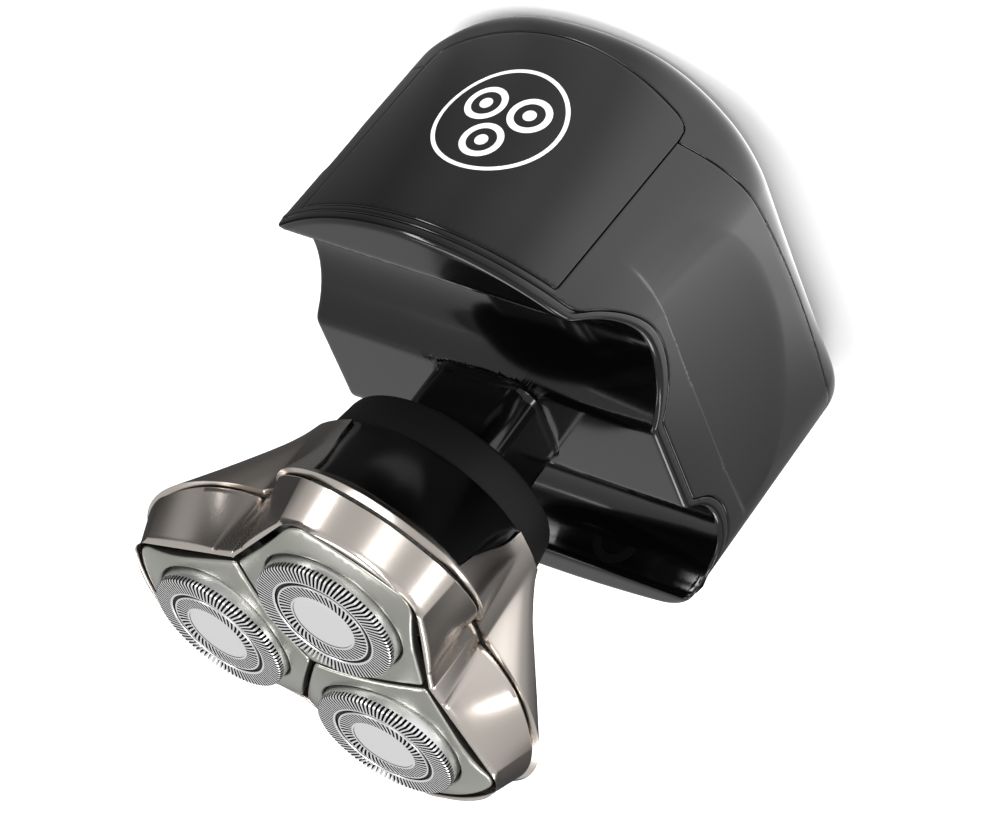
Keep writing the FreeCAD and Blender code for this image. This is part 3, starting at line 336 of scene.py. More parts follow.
def plane_of(turn, step):
    """Lay a surface's turn and step out flat, with the turn as bearing and the step as radius."""
    return np.stack([step * np.cos(2 * math.pi * turn), step * np.sin(2 * math.pi * turn)], -1)


def inside(loop, points):
    """Which points lie inside a closed loop."""
    x, y = points[:, 0], points[:, 1]
    hit = np.zeros(len(points), bool)
    ax, ay = loop[:, 0], loop[:, 1]
    bx, by = np.roll(ax, -1), np.roll(ay, -1)
    for i in range(len(loop)):
        span = (ay[i] > y) != (by[i] > y)
        if span.any():
            cross = (bx[i] - ax[i]) * (y - ay[i]) / (by[i] - ay[i] + 1e-15) + ax[i]
            hit ^= span & (x < cross)
    return hit


def resample(points, spacing, closed=True):
    """Space a loop's points evenly."""
    ring = np.concatenate([points, points[:1]]) if closed else points
    steps = np.linalg.norm(np.diff(ring, axis=0), axis=1)
    run = np.concatenate([[0], np.cumsum(steps)])
    count = max(8, int(round(run[-1] / spacing)))
    where = np.linspace(0, run[-1], count, endpoint=not closed)
    return np.stack([np.interp(where, run, ring[:, a]) for a in range(ring.shape[1])], -1)


def skin(name, chart, loops, fill, roll, gap, depth):
    """Make a closed moulding from a chart of a surface.

    chart turns flat points into places and normals, loops are flat outlines with the outer one
    first and any holes after it, and fill holds the flat points between them.
    """
    rims = []
    for number, loop in enumerate(loops):
        place, normal = chart(loop)
        tangent = np.roll(place, -1, axis=0) - np.roll(place, 1, axis=0)
        out = np.cross(tangent, normal)
        out /= np.linalg.norm(out, axis=-1, keepdims=True) + 1e-12
        away, _ = chart(loop + (loop - loop.mean(0)) * 1e-3)
        if ((away - place) * out).sum() < 0:
            out = -out
        if number:
            out = -out
        rims.append((place, normal, out))
    flat = [np.asarray(loop) for loop in loops]
    keep = inside(flat[0], fill)
    for hole in flat[1:]:
        keep &= ~inside(hole, fill)
    fill = fill[keep]
    for loop in flat:
        near = np.full(len(fill), 1e9)
        place, _ = chart(loop)
        target, _ = chart(fill)
        for start in range(0, len(fill), 4000):
            block = target[start:start + 4000]
            distance = np.linalg.norm(block[:, None, :] - place[None, ::2, :], axis=-1).min(1)
            near[start:start + 4000] = distance
        spacing = np.linalg.norm(np.diff(place, axis=0), axis=1).mean()
        fill = fill[near > roll + gap + spacing * 0.7]
    points = []
    edges = []
    for (place, normal, out), loop in zip(rims, flat):
        base = len(points)
        points += [tuple(p) for p in loop]
        edges += [(base + i, base + (i + 1) % len(loop)) for i in range(len(loop))]
    loop_sizes = [len(loop) for loop in flat]
    points += [tuple(p) for p in fill]
    result = delaunay_2d_cdt([Vector(p) for p in points], edges, [], 0, 1e-7)
    verts, faces, origin = result[0], result[2], result[3]
    spots = np.array([tuple(v) for v in verts])
    place, normal = chart(spots)
    centres = np.array([spots[list(f)].mean(0) for f in faces])
    keep = inside(flat[0], centres)
    for hole in flat[1:]:
        keep &= ~inside(hole, centres)
    faces = [f for f, use in zip(faces, keep) if use]
    index_of = {}
    for new, sources in enumerate(origin):
        for source in sources:
            index_of[source] = new
    # pull the outline's own points in, so that the roll ends at the gap
    place = place.copy()
    rings = []
    base = 0
    for (p, n, out), size in zip(rims, loop_sizes):
        ids = [index_of[base + i] for i in range(size)]
        base += size
        inner = p - out * (roll + gap)
        for i, vertex in enumerate(ids):
            place[vertex] = inner[i]
            normal[vertex] = n[i]
        rings.append((ids, inner, n, out))
    used = sorted({v for f in faces for v in f})
    renumber = {v: i for i, v in enumerate(used)}
    front = [tuple(place[v]) for v in used]
    back = [tuple(place[v] - normal[v] * depth) for v in used]
    count = len(used)
    vertices = front + back
    polygons = []
    for face in faces:
        a, b, c = (renumber[v] for v in face[:3])
        pa, pb, pc = (np.array(vertices[i]) for i in (a, b, c))
        facing = np.dot(np.cross(pb - pa, pc - pa), normal[face[0]])
        ring = (a, b, c) if facing > 0 else (a, c, b)
        polygons.append(ring)
        polygons.append(tuple(count + i for i in reversed(ring)))
    for ids, inner, n, out in rings:
        layers = [[renumber[v] for v in ids]]
        for angle in (30, 60, 90):
            turn = math.radians(angle)
            layer = inner + out * roll * math.sin(turn) - n * roll * (1 - math.cos(turn))
            layers.append(list(range(len(vertices), len(vertices) + len(layer))))
            vertices += [tuple(v) for v in layer]
        low = inner + out * roll - n * (depth - 0.02)
        layers.append(list(range(len(vertices), len(vertices) + len(low))))
        vertices += [tuple(v) for v in low]
        layers.append([count + renumber[v] for v in ids])
        size = len(ids)
        for upper, lower in zip(layers, layers[1:]):
            for i in range(size):
                j = (i + 1) % size
                polygons.append((upper[i], lower[i], lower[j], upper[j]))
    mesh = bpy.data.meshes.new(name)
    mesh.from_pydata([tuple(np.array(v) * MM) for v in vertices], [], polygons)
    bm = bmesh.new()
    bm.from_mesh(mesh)
    bmesh.ops.recalc_face_normals(bm, faces=bm.faces)
    bm.to_mesh(mesh)
    bm.free()
    mesh.shade_smooth()
    obj = bpy.data.objects.new(name, mesh)
    bpy.context.scene.collection.objects.link(obj)
    sharpen(obj, 50)
    return obj


def sharpen(obj, degrees):
    """Mark the edges sharper than an angle, so that they keep their own normals."""
    mesh = obj.data
    bm = bmesh.new()
    bm.from_mesh(mesh)
    limit = math.radians(degrees)
    for edge in bm.edges:
        edge.smooth = not (len(edge.link_faces) == 2 and edge.calc_face_angle(0) > limit)
    bm.to_mesh(mesh)
    bm.free()


def mesh_object(name, vertices, polygons, sharp=35, second=None):
    """Make an object from points in millimetres; faces from second on take its second finish."""
    mesh = bpy.data.meshes.new(name)
    mesh.from_pydata([tuple(float(c) * MM for c in v) for v in vertices], [], polygons)
    if second is not None:
        for polygon in mesh.polygons[second:]:
            polygon.material_index = 1
    bm = bmesh.new()
    bm.from_mesh(mesh)
    bmesh.ops.remove_doubles(bm, verts=bm.verts, dist=1e-7)
    bmesh.ops.recalc_face_normals(bm, faces=bm.faces)
    bm.to_mesh(mesh)
    bm.free()
    mesh.shade_smooth()
    obj = bpy.data.objects.new(name, mesh)
    bpy.context.scene.collection.objects.link(obj)
    sharpen(obj, sharp)
    return obj


def lathe(name, profile, sides=160, centre=(0, 0), sharp=35):
    """Turn a closed profile of radius and height about the vertical through a centre."""
    vertices = []
    polygons = []
    count = len(profile)
    for side in range(sides):
        angle = 2 * math.pi * side / sides
        for radius, height in profile:
            vertices.append((centre[0] + radius * math.cos(angle),
                             centre[1] + radius * math.sin(angle), height))
    for side in range(sides):
        for i in range(count):
            j = (i + 1) % count
            other = (side + 1) % sides
            polygons.append((side * count + i, other * count + i, other * count + j,
                             side * count + j))
    return mesh_object(name, vertices, polygons, sharp)


def eased(profile, radius, steps=4):
    """Round each corner of a closed profile by a radius or less."""
    result = []
    count = len(profile)
    for i in range(count):
        before, corner, after = (np.array(profile[k % count], float) for k in (i - 1, i, i + 1))
        one, two = before - corner, after - corner
        reach = min(radius, np.linalg.norm(one) * 0.45, np.linalg.norm(two) * 0.45)
        one = corner + one / (np.linalg.norm(one) + 1e-12) * reach
        two = corner + two / (np.linalg.norm(two) + 1e-12) * reach
        for step in range(steps + 1):
            t = step / steps
            result.append(tuple((1 - t) ** 2 * one + 2 * t * (1 - t) * corner + t * t * two))
    return result


# ------------------------------------------------------------ finishes


def node_group(name, inputs, outputs):
    """Start a shader node group with float or colour sockets."""
    group = bpy.data.node_groups.new(name, "ShaderNodeTree")
    for label, kind, default in inputs:
        socket = group.interface.new_socket(name=label, in_out="INPUT", socket_type=kind)
        socket.default_value = default
    for label, kind in outputs:
        group.interface.new_socket(name=label, in_out="OUTPUT", socket_type=kind)
    start = group.nodes.new("NodeGroupInput")
    end = group.nodes.new("NodeGroupOutput")
    return group, start, end


def handling_group():
    """Faint smears and hairline scratches of a part that is held, over an object's own space."""
    group, start, end = node_group(
        "handling_marks",
        [("Scale", "NodeSocketFloat", 90.0), ("Base Roughness", "NodeSocketFloat", 0.08),
         ("Smear", "NodeSocketFloat", 0.05), ("Scratch", "NodeSocketFloat", 0.03)],
        [("Roughness", "NodeSocketFloat"), ("Height", "NodeSocketFloat")])
    tree = group
    coords = tree.nodes.new("ShaderNodeTexCoord")
    broad = tree.nodes.new("ShaderNodeTexNoise")
    broad.inputs["Detail"].default_value = 4
    tree.links.new(coords.outputs["Object"], broad.inputs["Vector"])
    tree.links.new(start.outputs["Scale"], broad.inputs["Scale"])
    scale = tree.nodes.new("ShaderNodeMath")
    scale.operation = "MULTIPLY"
    scale.inputs[1].default_value = 22
    tree.links.new(start.outputs["Scale"], scale.inputs[0])
    stretch = tree.nodes.new("ShaderNodeMapping")
    stretch.inputs["Scale"].default_value = (1.0, 0.12, 1.0)
    stretch.inputs["Rotation"].default_value = (0.3, 0.6, 0.9)
    tree.links.new(coords.outputs["Object"], stretch.inputs["Vector"])
    hair = tree.nodes.new("ShaderNodeTexNoise")
    hair.inputs["Detail"].default_value = 2
    tree.links.new(stretch.outputs["Vector"], hair.inputs["Vector"])
    tree.links.new(scale.outputs[0], hair.inputs["Scale"])
    pick = tree.nodes.new("ShaderNodeMapRange")
    pick.inputs["From Min"].default_value = 0.62
    pick.inputs["From Max"].default_value = 0.72
    tree.links.new(hair.outputs["Fac"], pick.inputs["Value"])
    smear = tree.nodes.new("ShaderNodeMath")
    smear.operation = "MULTIPLY_ADD"
    tree.links.new(broad.outputs["Fac"], smear.inputs[0])
    tree.links.new(start.outputs["Smear"], smear.inputs[1])
    tree.links.new(start.outputs["Base Roughness"], smear.inputs[2])
    total = tree.nodes.new("ShaderNodeMath")
    total.operation = "MULTIPLY_ADD"
    tree.links.new(pick.outputs["Result"], total.inputs[0])
    tree.links.new(start.outputs["Scratch"], total.inputs[1])
    tree.links.new(smear.outputs[0], total.inputs[2])
    tree.links.new(total.outputs[0], end.inputs["Roughness"])
    tree.links.new(pick.outputs["Result"], end.inputs["Height"])
    return group


def grain_group():
    """Moulded or plated grain: fine cells over a slow change of tone."""
    group, start, end = node_group(
        "fine_grain",
        [("Scale", "NodeSocketFloat", 1500.0), ("Colour", "NodeSocketColor", (0.5, 0.5, 0.5, 1)),
         ("Shade", "NodeSocketFloat", 0.08), ("Base Roughness", "NodeSocketFloat", 0.4),
         ("Spread", "NodeSocketFloat", 0.1)],
        [("Colour", "NodeSocketColor"), ("Roughness", "NodeSocketFloat"),
         ("Height", "NodeSocketFloat")])
    tree = group
    coords = tree.nodes.new("ShaderNodeTexCoord")
    fine = tree.nodes.new("ShaderNodeTexNoise")
    fine.inputs["Detail"].default_value = 3
    tree.links.new(coords.outputs["Object"], fine.inputs["Vector"])
    tree.links.new(start.outputs["Scale"], fine.inputs["Scale"])
    slow = tree.nodes.new("ShaderNodeTexNoise")
    slow.inputs["Scale"].default_value = 55
    slow.inputs["Detail"].default_value = 2
    tree.links.new(coords.outputs["Object"], slow.inputs["Vector"])
    shade = tree.nodes.new("ShaderNodeMath")
    shade.operation = "MULTIPLY"
    tree.links.new(slow.outputs["Fac"], shade.inputs[0])
    tree.links.new(start.outputs["Shade"], shade.inputs[1])
    mix = tree.nodes.new("ShaderNodeMix")
    mix.data_type = "RGBA"
    mix.blend_type = "MIX"
    mix.inputs["B"].default_value = (0, 0, 0, 1)
    tree.links.new(shade.outputs[0], mix.inputs["Factor"])
    tree.links.new(start.outputs["Colour"], mix.inputs["A"])
    rough = tree.nodes.new("ShaderNodeMath")
    rough.operation = "MULTIPLY_ADD"
    tree.links.new(fine.outputs["Fac"], rough.inputs[0])
    tree.links.new(start.outputs["Spread"], rough.inputs[1])
    tree.links.new(start.outputs["Base Roughness"], rough.inputs[2])
    tree.links.new(mix.outputs["Result"], end.inputs["Colour"])
    tree.links.new(rough.outputs[0], end.inputs["Roughness"])
    tree.links.new(fine.outputs["Fac"], end.inputs["Height"])
    return group


GROUPS = {}


def group_node(tree, name, **values):
    """Add a shared shader group to a material, made on first use."""
    if name not in GROUPS:
        GROUPS[name] = {"handling_marks": handling_group, "fine_grain": grain_group}[name]()
    node = tree.nodes.new("ShaderNodeGroup")
    node.node_tree = GROUPS[name]
    for label, amount in values.items():
        node.inputs[label.replace("_", " ")].default_value = amount
    return node


def finish(name, colour, metallic=0.0, roughness=0.4, gloss=False, grain=1500.0, shade=0.08,
           spread=0.1, bump=0.02, coat=0.0, smear=0.05, mirror=0.5):
    """Make a material: marks of handling on gloss, a fine grain on everything else."""
    material = bpy.data.materials.new(name)
    material.use_nodes = True
    tree = material.node_tree
    shader = tree.nodes["Principled BSDF"]
    shader.inputs["Metallic"].default_value = metallic
    shader.inputs["Specular IOR Level"].default_value = mirror
    shader.inputs["Coat Weight"].default_value = coat
    shader.inputs["Coat Roughness"].default_value = 0.04
    grained = group_node(tree, "fine_grain", Scale=grain, Colour=(*colour, 1), Shade=shade,
                         Base_Roughness=roughness, Spread=spread)
    tree.links.new(grained.outputs["Colour"], shader.inputs["Base Color"])
    height = grained.outputs["Height"]
    if gloss:
        marks = group_node(tree, "handling_marks", Base_Roughness=roughness, Smear=smear)
        tree.links.new(marks.outputs["Roughness"], shader.inputs["Roughness"])
        height = marks.outputs["Height"]
    else:
        tree.links.new(grained.outputs["Roughness"], shader.inputs["Roughness"])
    dent = tree.nodes.new("ShaderNodeBump")
    dent.inputs["Strength"].default_value = bump
    dent.inputs["Distance"].default_value = 0.00002
    tree.links.new(height, dent.inputs["Height"])
    tree.links.new(dent.outputs["Normal"], shader.inputs["Normal"])
    return material


MATERIALS = {}


def make_materials():
    """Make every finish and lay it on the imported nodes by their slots."""
    c = bpy.context.scene.shaver_colours
    black = tuple(c.piano_black)
    made = {
        "gloss_black": finish("gloss_black", black, roughness=0.10, gloss=True,
                              bump=0.004, mirror=0.4),
        "panel_black": finish("panel_black", black, roughness=0.07, gloss=True, bump=0.003,
                              smear=0.03, mirror=0.4),
        "smoked_lens": finish("smoked_lens", (0.02, 0.02, 0.022), roughness=0.12, gloss=True,
                              bump=0.003),
        "seal_rubber": finish("seal_rubber", (0.004, 0.004, 0.004), roughness=0.6, bump=0.1,
                              mirror=0.1),
        "matte_black": finish("matte_black", (0.002, 0.002, 0.002), roughness=0.5, bump=0.1,
                              mirror=0.08),
        "bearing_plastic": finish("bearing_plastic", (0.3, 0.3, 0.29), roughness=0.45, bump=0.2),
        "motor_steel": finish("motor_steel", (0.5, 0.5, 0.5), 1.0, 0.28, bump=0.1),
        "screw_steel": finish("screw_steel", (0.58, 0.58, 0.57), 1.0, 0.25, bump=0.1),
        "cell_wrap": finish("cell_wrap", (0.03, 0.13, 0.3), roughness=0.3, bump=0.1),
        "board_green": finish("board_green", (0.01, 0.13, 0.04), roughness=0.35, bump=0.1),
        "button_grey": finish("button_grey", (0.02, 0.02, 0.021), roughness=0.2, gloss=True,
                              bump=0.004),
        "collar_grey": finish("collar_grey", tuple(c.collar_grey), roughness=0.42, bump=0.05,
                              spread=0.12, mirror=0.1),
        "shell_nickel": finish("shell_nickel", tuple(c.shell_nickel), 1.0, 0.2, grain=5200.0,
                               shade=0.03, spread=0.03, bump=0.004),
        "plate_nickel": finish("plate_nickel", tuple(c.plate_nickel), 1.0, 0.3, grain=5200.0,
                               shade=0.04, spread=0.03, bump=0.004),
        "foil_steel": finish("foil_steel", tuple(c.foil_steel), 1.0, 0.28, grain=5200.0,
                             shade=0.03, spread=0.04, bump=0.006),
        # near-black, far darker than steel: painted shade for the cutters under the foils, the
        # slot walls, the groove between the tracks and the flange
        "cutter_steel": finish("cutter_steel", (0.02, 0.02, 0.02), 1.0, 0.5, bump=0.05),
        "gear_plastic": finish("gear_plastic", (0.72, 0.71, 0.66), roughness=0.45, bump=0.2),
        "emblem_silver": finish("emblem_silver", (0.78, 0.78, 0.77), 0.0, 0.4, spread=0.1),
    }
    MATERIALS.update(made)
    slots = {s["node"]: s["material_slot"] for s in frame["record"]["subparts"]}
    for node, obj in frame["nodes"].items():
        obj.data.materials.clear()
        obj.data.materials.append(MATERIALS[slots[node]])


def dress(obj, material, body, nodes=()):
    """Give a piece its finish, its body and the nodes that it stands for."""
    if not obj.data.materials:
        obj.data.materials.append(MATERIALS[material])
    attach(obj, body)
    if nodes:
        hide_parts(*nodes)
    return obj


# ------------------------------------------------------------ grip pieces

GRIP = {}


def grip_surface():
    """The grip's surface and the steps where its parts start, made once."""
    if "surface" not in GRIP:
        table, parts = grip_table()
        GRIP["surface"] = Surface(table, scoop_sink)
        GRIP["parts"] = np.cumsum((0,) + parts)
    return GRIP["surface"], GRIP["parts"]


def step_at_height(turn, height, skip_low=5, skip_high=4):
    """Step at which the raw wall reaches a height, for each share of a turn."""
    surface, parts = grip_surface()
    steps = np.arange(parts[1] + skip_low, parts[4] - skip_high)
    result = []
    for t, z in zip(np.atleast_1d(turn), np.atleast_1d(height)):
        line = surface.sample(surface.raw, np.full(len(steps), t), steps.astype(float))[:, 2]
        result.append(np.interp(z, line, steps))
    return np.array(result)


def grip_chart(flat):
    """Place and normal on the grip for flat points, whose radius is the step."""
    surface, _ = grip_surface()
    step = np.hypot(flat[..., 0], flat[..., 1])
    turn = np.arctan2(flat[..., 1], flat[..., 0]) / (2 * math.pi)
    return surface.at(turn, step)


def seam_loop(count=720):
    """The seam between palm cover and housing."""
    turns = np.arange(count) / count
    heights = []
    for t in turns:
        y = wall_point(np.array([t]), np.array([12.0]))[0][1]
        heights.append(float(seam_height(y)))
    return plane_of(turns, step_at_height(turns, heights))


def plate_loop(count=720):
    """The seam between housing and finger plate, a skin's depth under the finger side."""
    turns = np.arange(count) / count
    heights = []
    for t in turns:
        y = wall_point(np.array([t]), np.array([48.0]))[0][1]
        heights.append(float(underside_height(y)) - 2.2)
    return plane_of(turns, step_at_height(turns, heights))


def turn_of(x_value):
    """Share of a turn at which the front wall has an X."""
    turns = np.linspace(-0.2, 0.2, 801)
    x = wall_point(turns, np.full(turns.shape, 25.0))[:, 0]
    return np.interp(x_value, x, turns)


def panel_loop():
    """The front panel's outline: straight sides, bowed foot and rounded corners, flat points."""
    side = [(PANEL_HALF, PANEL_TOP), (PANEL_HALF, 13.0)]
    corner = [(PANEL_HALF - 0.2, 11.2), (PANEL_HALF - 0.9, 10.0), (PANEL_HALF - 2.2, 9.2)]
    foot = [(x, 5.0 + 4.1 * (x / 22.0) ** 2) for x in np.linspace(PANEL_HALF - 2.6, 0, 12)]
    right = side + corner + foot
    left = [(-x, z) for x, z in reversed(right[:-1])]
    outline = resample(np.array(right + left), 0.6)
    turns = turn_of(outline[:, 0])
    return plane_of(turns, step_at_height(turns, outline[:, 1], 0, 0))


def split_by_seam(seam, panel):
    """Turns of the panel's outline, which of it is above the seam, and the seam beside it."""
    turns = np.arctan2(panel[:, 1], panel[:, 0]) / (2 * math.pi)
    seam_turns = np.arctan2(seam[:, 1], seam[:, 0]) / (2 * math.pi)
    seam_steps = np.hypot(seam[:, 0], seam[:, 1])
    order = np.argsort(seam_turns)
    limit = np.interp(turns, seam_turns[order], seam_steps[order])
    above = np.hypot(panel[:, 0], panel[:, 1]) >= limit
    beside = np.abs(seam_turns) > turn_of(PANEL_HALF)
    rest = seam[beside]
    return turns, above, rest[np.argsort(seam_turns[beside] % 1.0)]


def lattice(turns, rows):
    """Flat points on a lattice of turns by rows of steps, staggered."""
    points = []
    for number, row in enumerate(rows):
        offset = 0.5 * (number % 2)
        share = (np.arange(turns) + offset) / turns
        points.append(plane_of(share, np.full(turns, float(row))))
    return np.concatenate(points)


# ------------------------------------------------------------ head surface


def lobed_radius(angle, radius, offset, middle):
    """Reach of three lobe circles and a middle circle at an angle."""
    reach = np.full(np.shape(angle), float(middle))
    for lobe in LOBES:
        a = angle - 2 * math.pi * lobe / 3
        room = radius ** 2 - (offset * np.sin(a)) ** 2
        far = np.where((room > 0) & (np.cos(a) > 0),
                       offset * np.cos(a) + np.sqrt(np.maximum(room, 0)), 0)
        reach = np.maximum(reach, far)
    return reach


def eased_lobes(radius, offset, middle, width=3.0):
    """Lobed outline with its valleys eased, as a table over the turn."""
    angle = np.arange(3600) / 3600 * 2 * math.pi
    reach = lobed_radius(angle, radius, offset, middle)
    kernel = np.exp(-0.5 * (np.arange(-150, 151) / 10 / width) ** 2)
    soft = np.convolve(np.pad(reach, 150, mode="wrap"), kernel / kernel.sum(), mode="valid")
    return np.minimum(soft, reach + 0.6)


SHELL_LOBES = eased_lobes(18.6, 20.0, 21.5, 1.6)
RIM_LOW_LOBES = eased_lobes(18.6, 21.9, 21.5, 1.6)
RIM_HIGH_LOBES = eased_lobes(17.4, 18.2, 22.5, 1.2)


def lookup(table, angle):
    """Read a table over the turn between its entries."""
    place = (np.asarray(angle) / (2 * math.pi) % 1.0) * len(table)
    low = np.floor(place).astype(int) % len(table)
    part = place - np.floor(place)
    return table[low] * (1 - part) + table[(low + 1) % len(table)] * part


def shell_radius(angle, height):
    """Reach of the shell, from the round collar to the lobed parting."""
    rise = (height - COLLAR_TOP) / (SHELL_TOP - COLLAR_TOP)
    return COLLAR_RADIUS * (1 - rise) + lookup(SHELL_LOBES, angle) * rise


def parting_height(reach):
    """Height of the parting cone at a reach."""
    slope = (90.3 - 84.6) / (20.0 + 18.6 - 21.5)
    return 84.6 + (reach - 21.5) * slope


def shell_top(angle):
    """Height at which the shell meets the parting cone."""
    low, high = np.full(np.shape(angle), 70.0), np.full(np.shape(angle), 92.0)
    for _ in range(40):
        mid = (low + high) / 2
        above = mid > parting_height(shell_radius(angle, mid))
        high = np.where(above, mid, high)
        low = np.where(above, low, mid)
    return (low + high) / 2


SHELL_STEPS = 160


def shell_table():
    """Grid of the shell's surface, from the collar to the parting."""
    angle = np.arange(1440) / 1440 * 2 * math.pi
    top = shell_top(angle)
    share = np.linspace(0, 1, SHELL_STEPS + 1)
    height = COLLAR_TOP + (top[:, None] - COLLAR_TOP) * share[None]
    reach = shell_radius(angle[:, None], height)
    return np.stack([reach * np.cos(angle)[:, None], reach * np.sin(angle)[:, None], height], -1)


HEAD = {}
BASE_STEP = 60.0


def shell_chart(flat):
    """Place and normal on the shell for flat points."""
    if "shell" not in HEAD:
        HEAD["shell"] = Surface(shell_table())
    step = np.hypot(flat[..., 0], flat[..., 1]) - BASE_STEP
    turn = np.arctan2(flat[..., 1], flat[..., 0]) / (2 * math.pi)
    return HEAD["shell"].at(turn, step)


def insert_loop(lobe, closed=True):
    """A black insert's outline on the shell, narrow at the collar and wide at the blade frame."""
    half = [(13.0, 14.6, 69.0), (17.2, 14.0, None), (22.0, 13.2, None), (27.0, 12.5, None),
            (31.7, 12.3, None)]
    nose = [(33.2, 10.6), (34.9, 8.0), (36.4, 4.8), (37.2, 1.8), (37.35, 0.0)]
    outline = [(u, t) for u, t, _ in half] + nose
    outline = outline + [(u, -t) for u, t in reversed(outline[:-1])]
    path = resample(np.array(outline[::-1], float), 0.55, closed=closed)
    chart_points = []
    for u, t in path:
        angle = math.atan2(t, u)
        reach = math.hypot(u, t)
        heights = np.linspace(COLLAR_TOP, SHELL_TOP, 200)
        radii = shell_radius(angle, heights)
        z = float(np.interp(reach, radii, heights))
        top = float(shell_top(np.array([angle]))[0])
        step = (z - COLLAR_TOP) / (top - COLLAR_TOP) * SHELL_STEPS
        step = min(max(step, 0.02), SHELL_STEPS * 0.965)
        chart_points.append((angle / (2 * math.pi) + lobe / 3, step + BASE_STEP))
    chart_points = np.array(chart_points)
    return plane_of(chart_points[:, 0], chart_points[:, 1])


# ------------------------------------------------------------ cutting units


def pad_points(grow):
    """Outline of a cutter's plate on the first lobe, grown all round, as dense points."""
    lean = math.radians(PAD["lean"])
    side = PAD["valley"] * math.sin(lean + math.radians(60))
    inner = side - PAD["corner"]
    along = math.sqrt((PAD["nose"] - PAD["corner"]) ** 2 - inner ** 2)
    ball = np.array([inner * math.sin(lean) + along * math.cos(lean),
                     inner * math.cos(lean) - along * math.sin(lean)])
    radius = PAD["corner"] + grow
    back = PAD["gap"] - grow
    sixty = math.radians(60)
    valley = np.array([(back * math.cos(lean) + 0.5 * (side + grow)) / math.sin(sixty + lean),
                       (math.sin(sixty) * (side + grow) - back * math.sin(lean))
                       / math.sin(sixty + lean)])
    apex = np.array([back / math.sin(sixty), 0.0])
    start = math.pi / 2 - lean
    nose_angle = math.atan2(ball[1], ball[0])
    upper = [apex, valley]
    for angle in np.linspace(start, nose_angle, 16):
        upper.append(ball + radius * np.array([math.cos(angle), math.sin(angle)]))
    for angle in np.linspace(nose_angle, 0, 24)[1:]:
        upper.append((PAD["nose"] + grow) * np.array([math.cos(angle), math.sin(angle)]))
    upper = np.array(upper)
    lower = upper[1:-1][::-1] * np.array([1, -1])
    return np.concatenate([upper, lower])


def plate_height(u, v):
    """Height of a plate's crowned top."""
    drop = 1.15 + 0.0095 * v ** 2 + 0.0148 * np.maximum(0, u - 20) ** 2
    return HEAD_TOP - drop


def plate_chart(flat):
    """Place and normal on a plate's crowned top for flat points."""
    u, v = flat[..., 0], flat[..., 1]
    step = 0.05
    slope_u = (plate_height(u + step, v) - plate_height(u - step, v)) / (2 * step)
    slope_v = (plate_height(u, v + step) - plate_height(u, v - step)) / (2 * step)
    place = np.stack([u, v, plate_height(u, v)], -1)
    normal = np.stack([-slope_u, -slope_v, np.ones_like(u)], -1)
    return place, normal / np.linalg.norm(normal, axis=-1, keepdims=True)


def soften(loop, radius, spacing=0.35):
    """Round a closed loop's corners and space it evenly."""
    return resample(np.array(eased([tuple(p) for p in loop], radius, 6)), spacing)


def turn_object(obj, lobe):
    """Bake a turn to a lobe into an object's mesh."""
    obj.data.transform(Matrix.Rotation(2 * math.pi * lobe / 3, 4, "Z"))


def cutter_matrix(lobe):
    """Where a cutting unit's own frame lies: tilted outwards on its lobe."""
    turn = Matrix.Rotation(2 * math.pi * lobe / 3, 4, "Z")
    place = Matrix.Translation((CUTTER_PITCH * MM, 0, HEAD_TOP * MM))
    return turn @ place @ Matrix.Rotation(CUTTER_TILT, 4, "Y")


def slotted_track(name, profile, slots, swirl, first, last, rib_share=0.46):
    """A thin track of a foil with slanted slots cut through between two rows of its profile; the
    slots' walls take the near-black cutter_steel finish as painted shade.
    """
    columns = 4
    total = slots * columns
    vertices, polygons = [], []
    lengths = [0.0]
    for a, b in zip(profile, profile[1:]):
        lengths.append(lengths[-1] + math.dist(a, b))
    shares = (0.0, rib_share * 0.5, rib_share, rib_share + (1 - rib_share) * 0.5)
    pitch = 2 * math.pi / slots
    normals = []
    for i in range(len(profile)):
        a = np.array(profile[max(i - 1, 0)])
        b = np.array(profile[min(i + 1, len(profile) - 1)])
        d = (b - a) / np.linalg.norm(b - a)
        normals.append(np.array([-d[1], d[0]]))
    depth = 0.32
    for layer in (0, 1):
        for i, (radius, height) in enumerate(profile):
            r, z = np.array([radius, height]) - normals[i] * depth * layer
            shift = swirl * lengths[i] / lengths[-1]
            for column in range(total):
                angle = (column // columns + shares[column % columns]) * pitch + shift
                vertices.append((r * math.cos(angle), r * math.sin(angle), z))
    rows = len(profile)
    shade_painted_walls = []

    def solid(row, column):
        if row < 0 or row >= rows - 1:
            return False
        return not (first <= row < last and column % columns >= 2)

    def index(layer, row, column):
        return (layer * rows + row) * total + column % total

    for row in range(rows - 1):
        for column in range(total):
            if not solid(row, column):
                continue
            a, b = index(0, row, column), index(0, row, column + 1)
            c, d = index(0, row + 1, column + 1), index(0, row + 1, column)
            polygons.append((a, b, c, d))
            e, f = index(1, row, column), index(1, row, column + 1)
            g, h = index(1, row + 1, column + 1), index(1, row + 1, column)
            polygons.append((h, g, f, e))
            if not solid(row - 1, column):
                shade_painted_walls.append((a, e, f, b))
            if not solid(row + 1, column):
                shade_painted_walls.append((d, c, g, h))
            if not solid(row, (column - 1) % total):
                shade_painted_walls.append((a, d, h, e))
            if not solid(row, (column + 1) % total):
                shade_painted_walls.append((b, f, g, c))
    # painted shade: the walls inside the slots take the second, near-black finish
    track = mesh_object(name, vertices, polygons + shade_painted_walls, sharp=30, second=len(polygons))
    track.data.materials.append(MATERIALS["foil_steel"])
    track.data.materials.append(MATERIALS["cutter_steel"])
    return track


# ------------------------------------------------------------ operators


class SHAVER_OT_finishes(bpy.types.Operator):
    """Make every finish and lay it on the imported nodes"""
    bl_idname = "shaver.finishes"
    bl_label = "Finishes"

    def execute(self, context):
        make_materials()
        return {"FINISHED"}


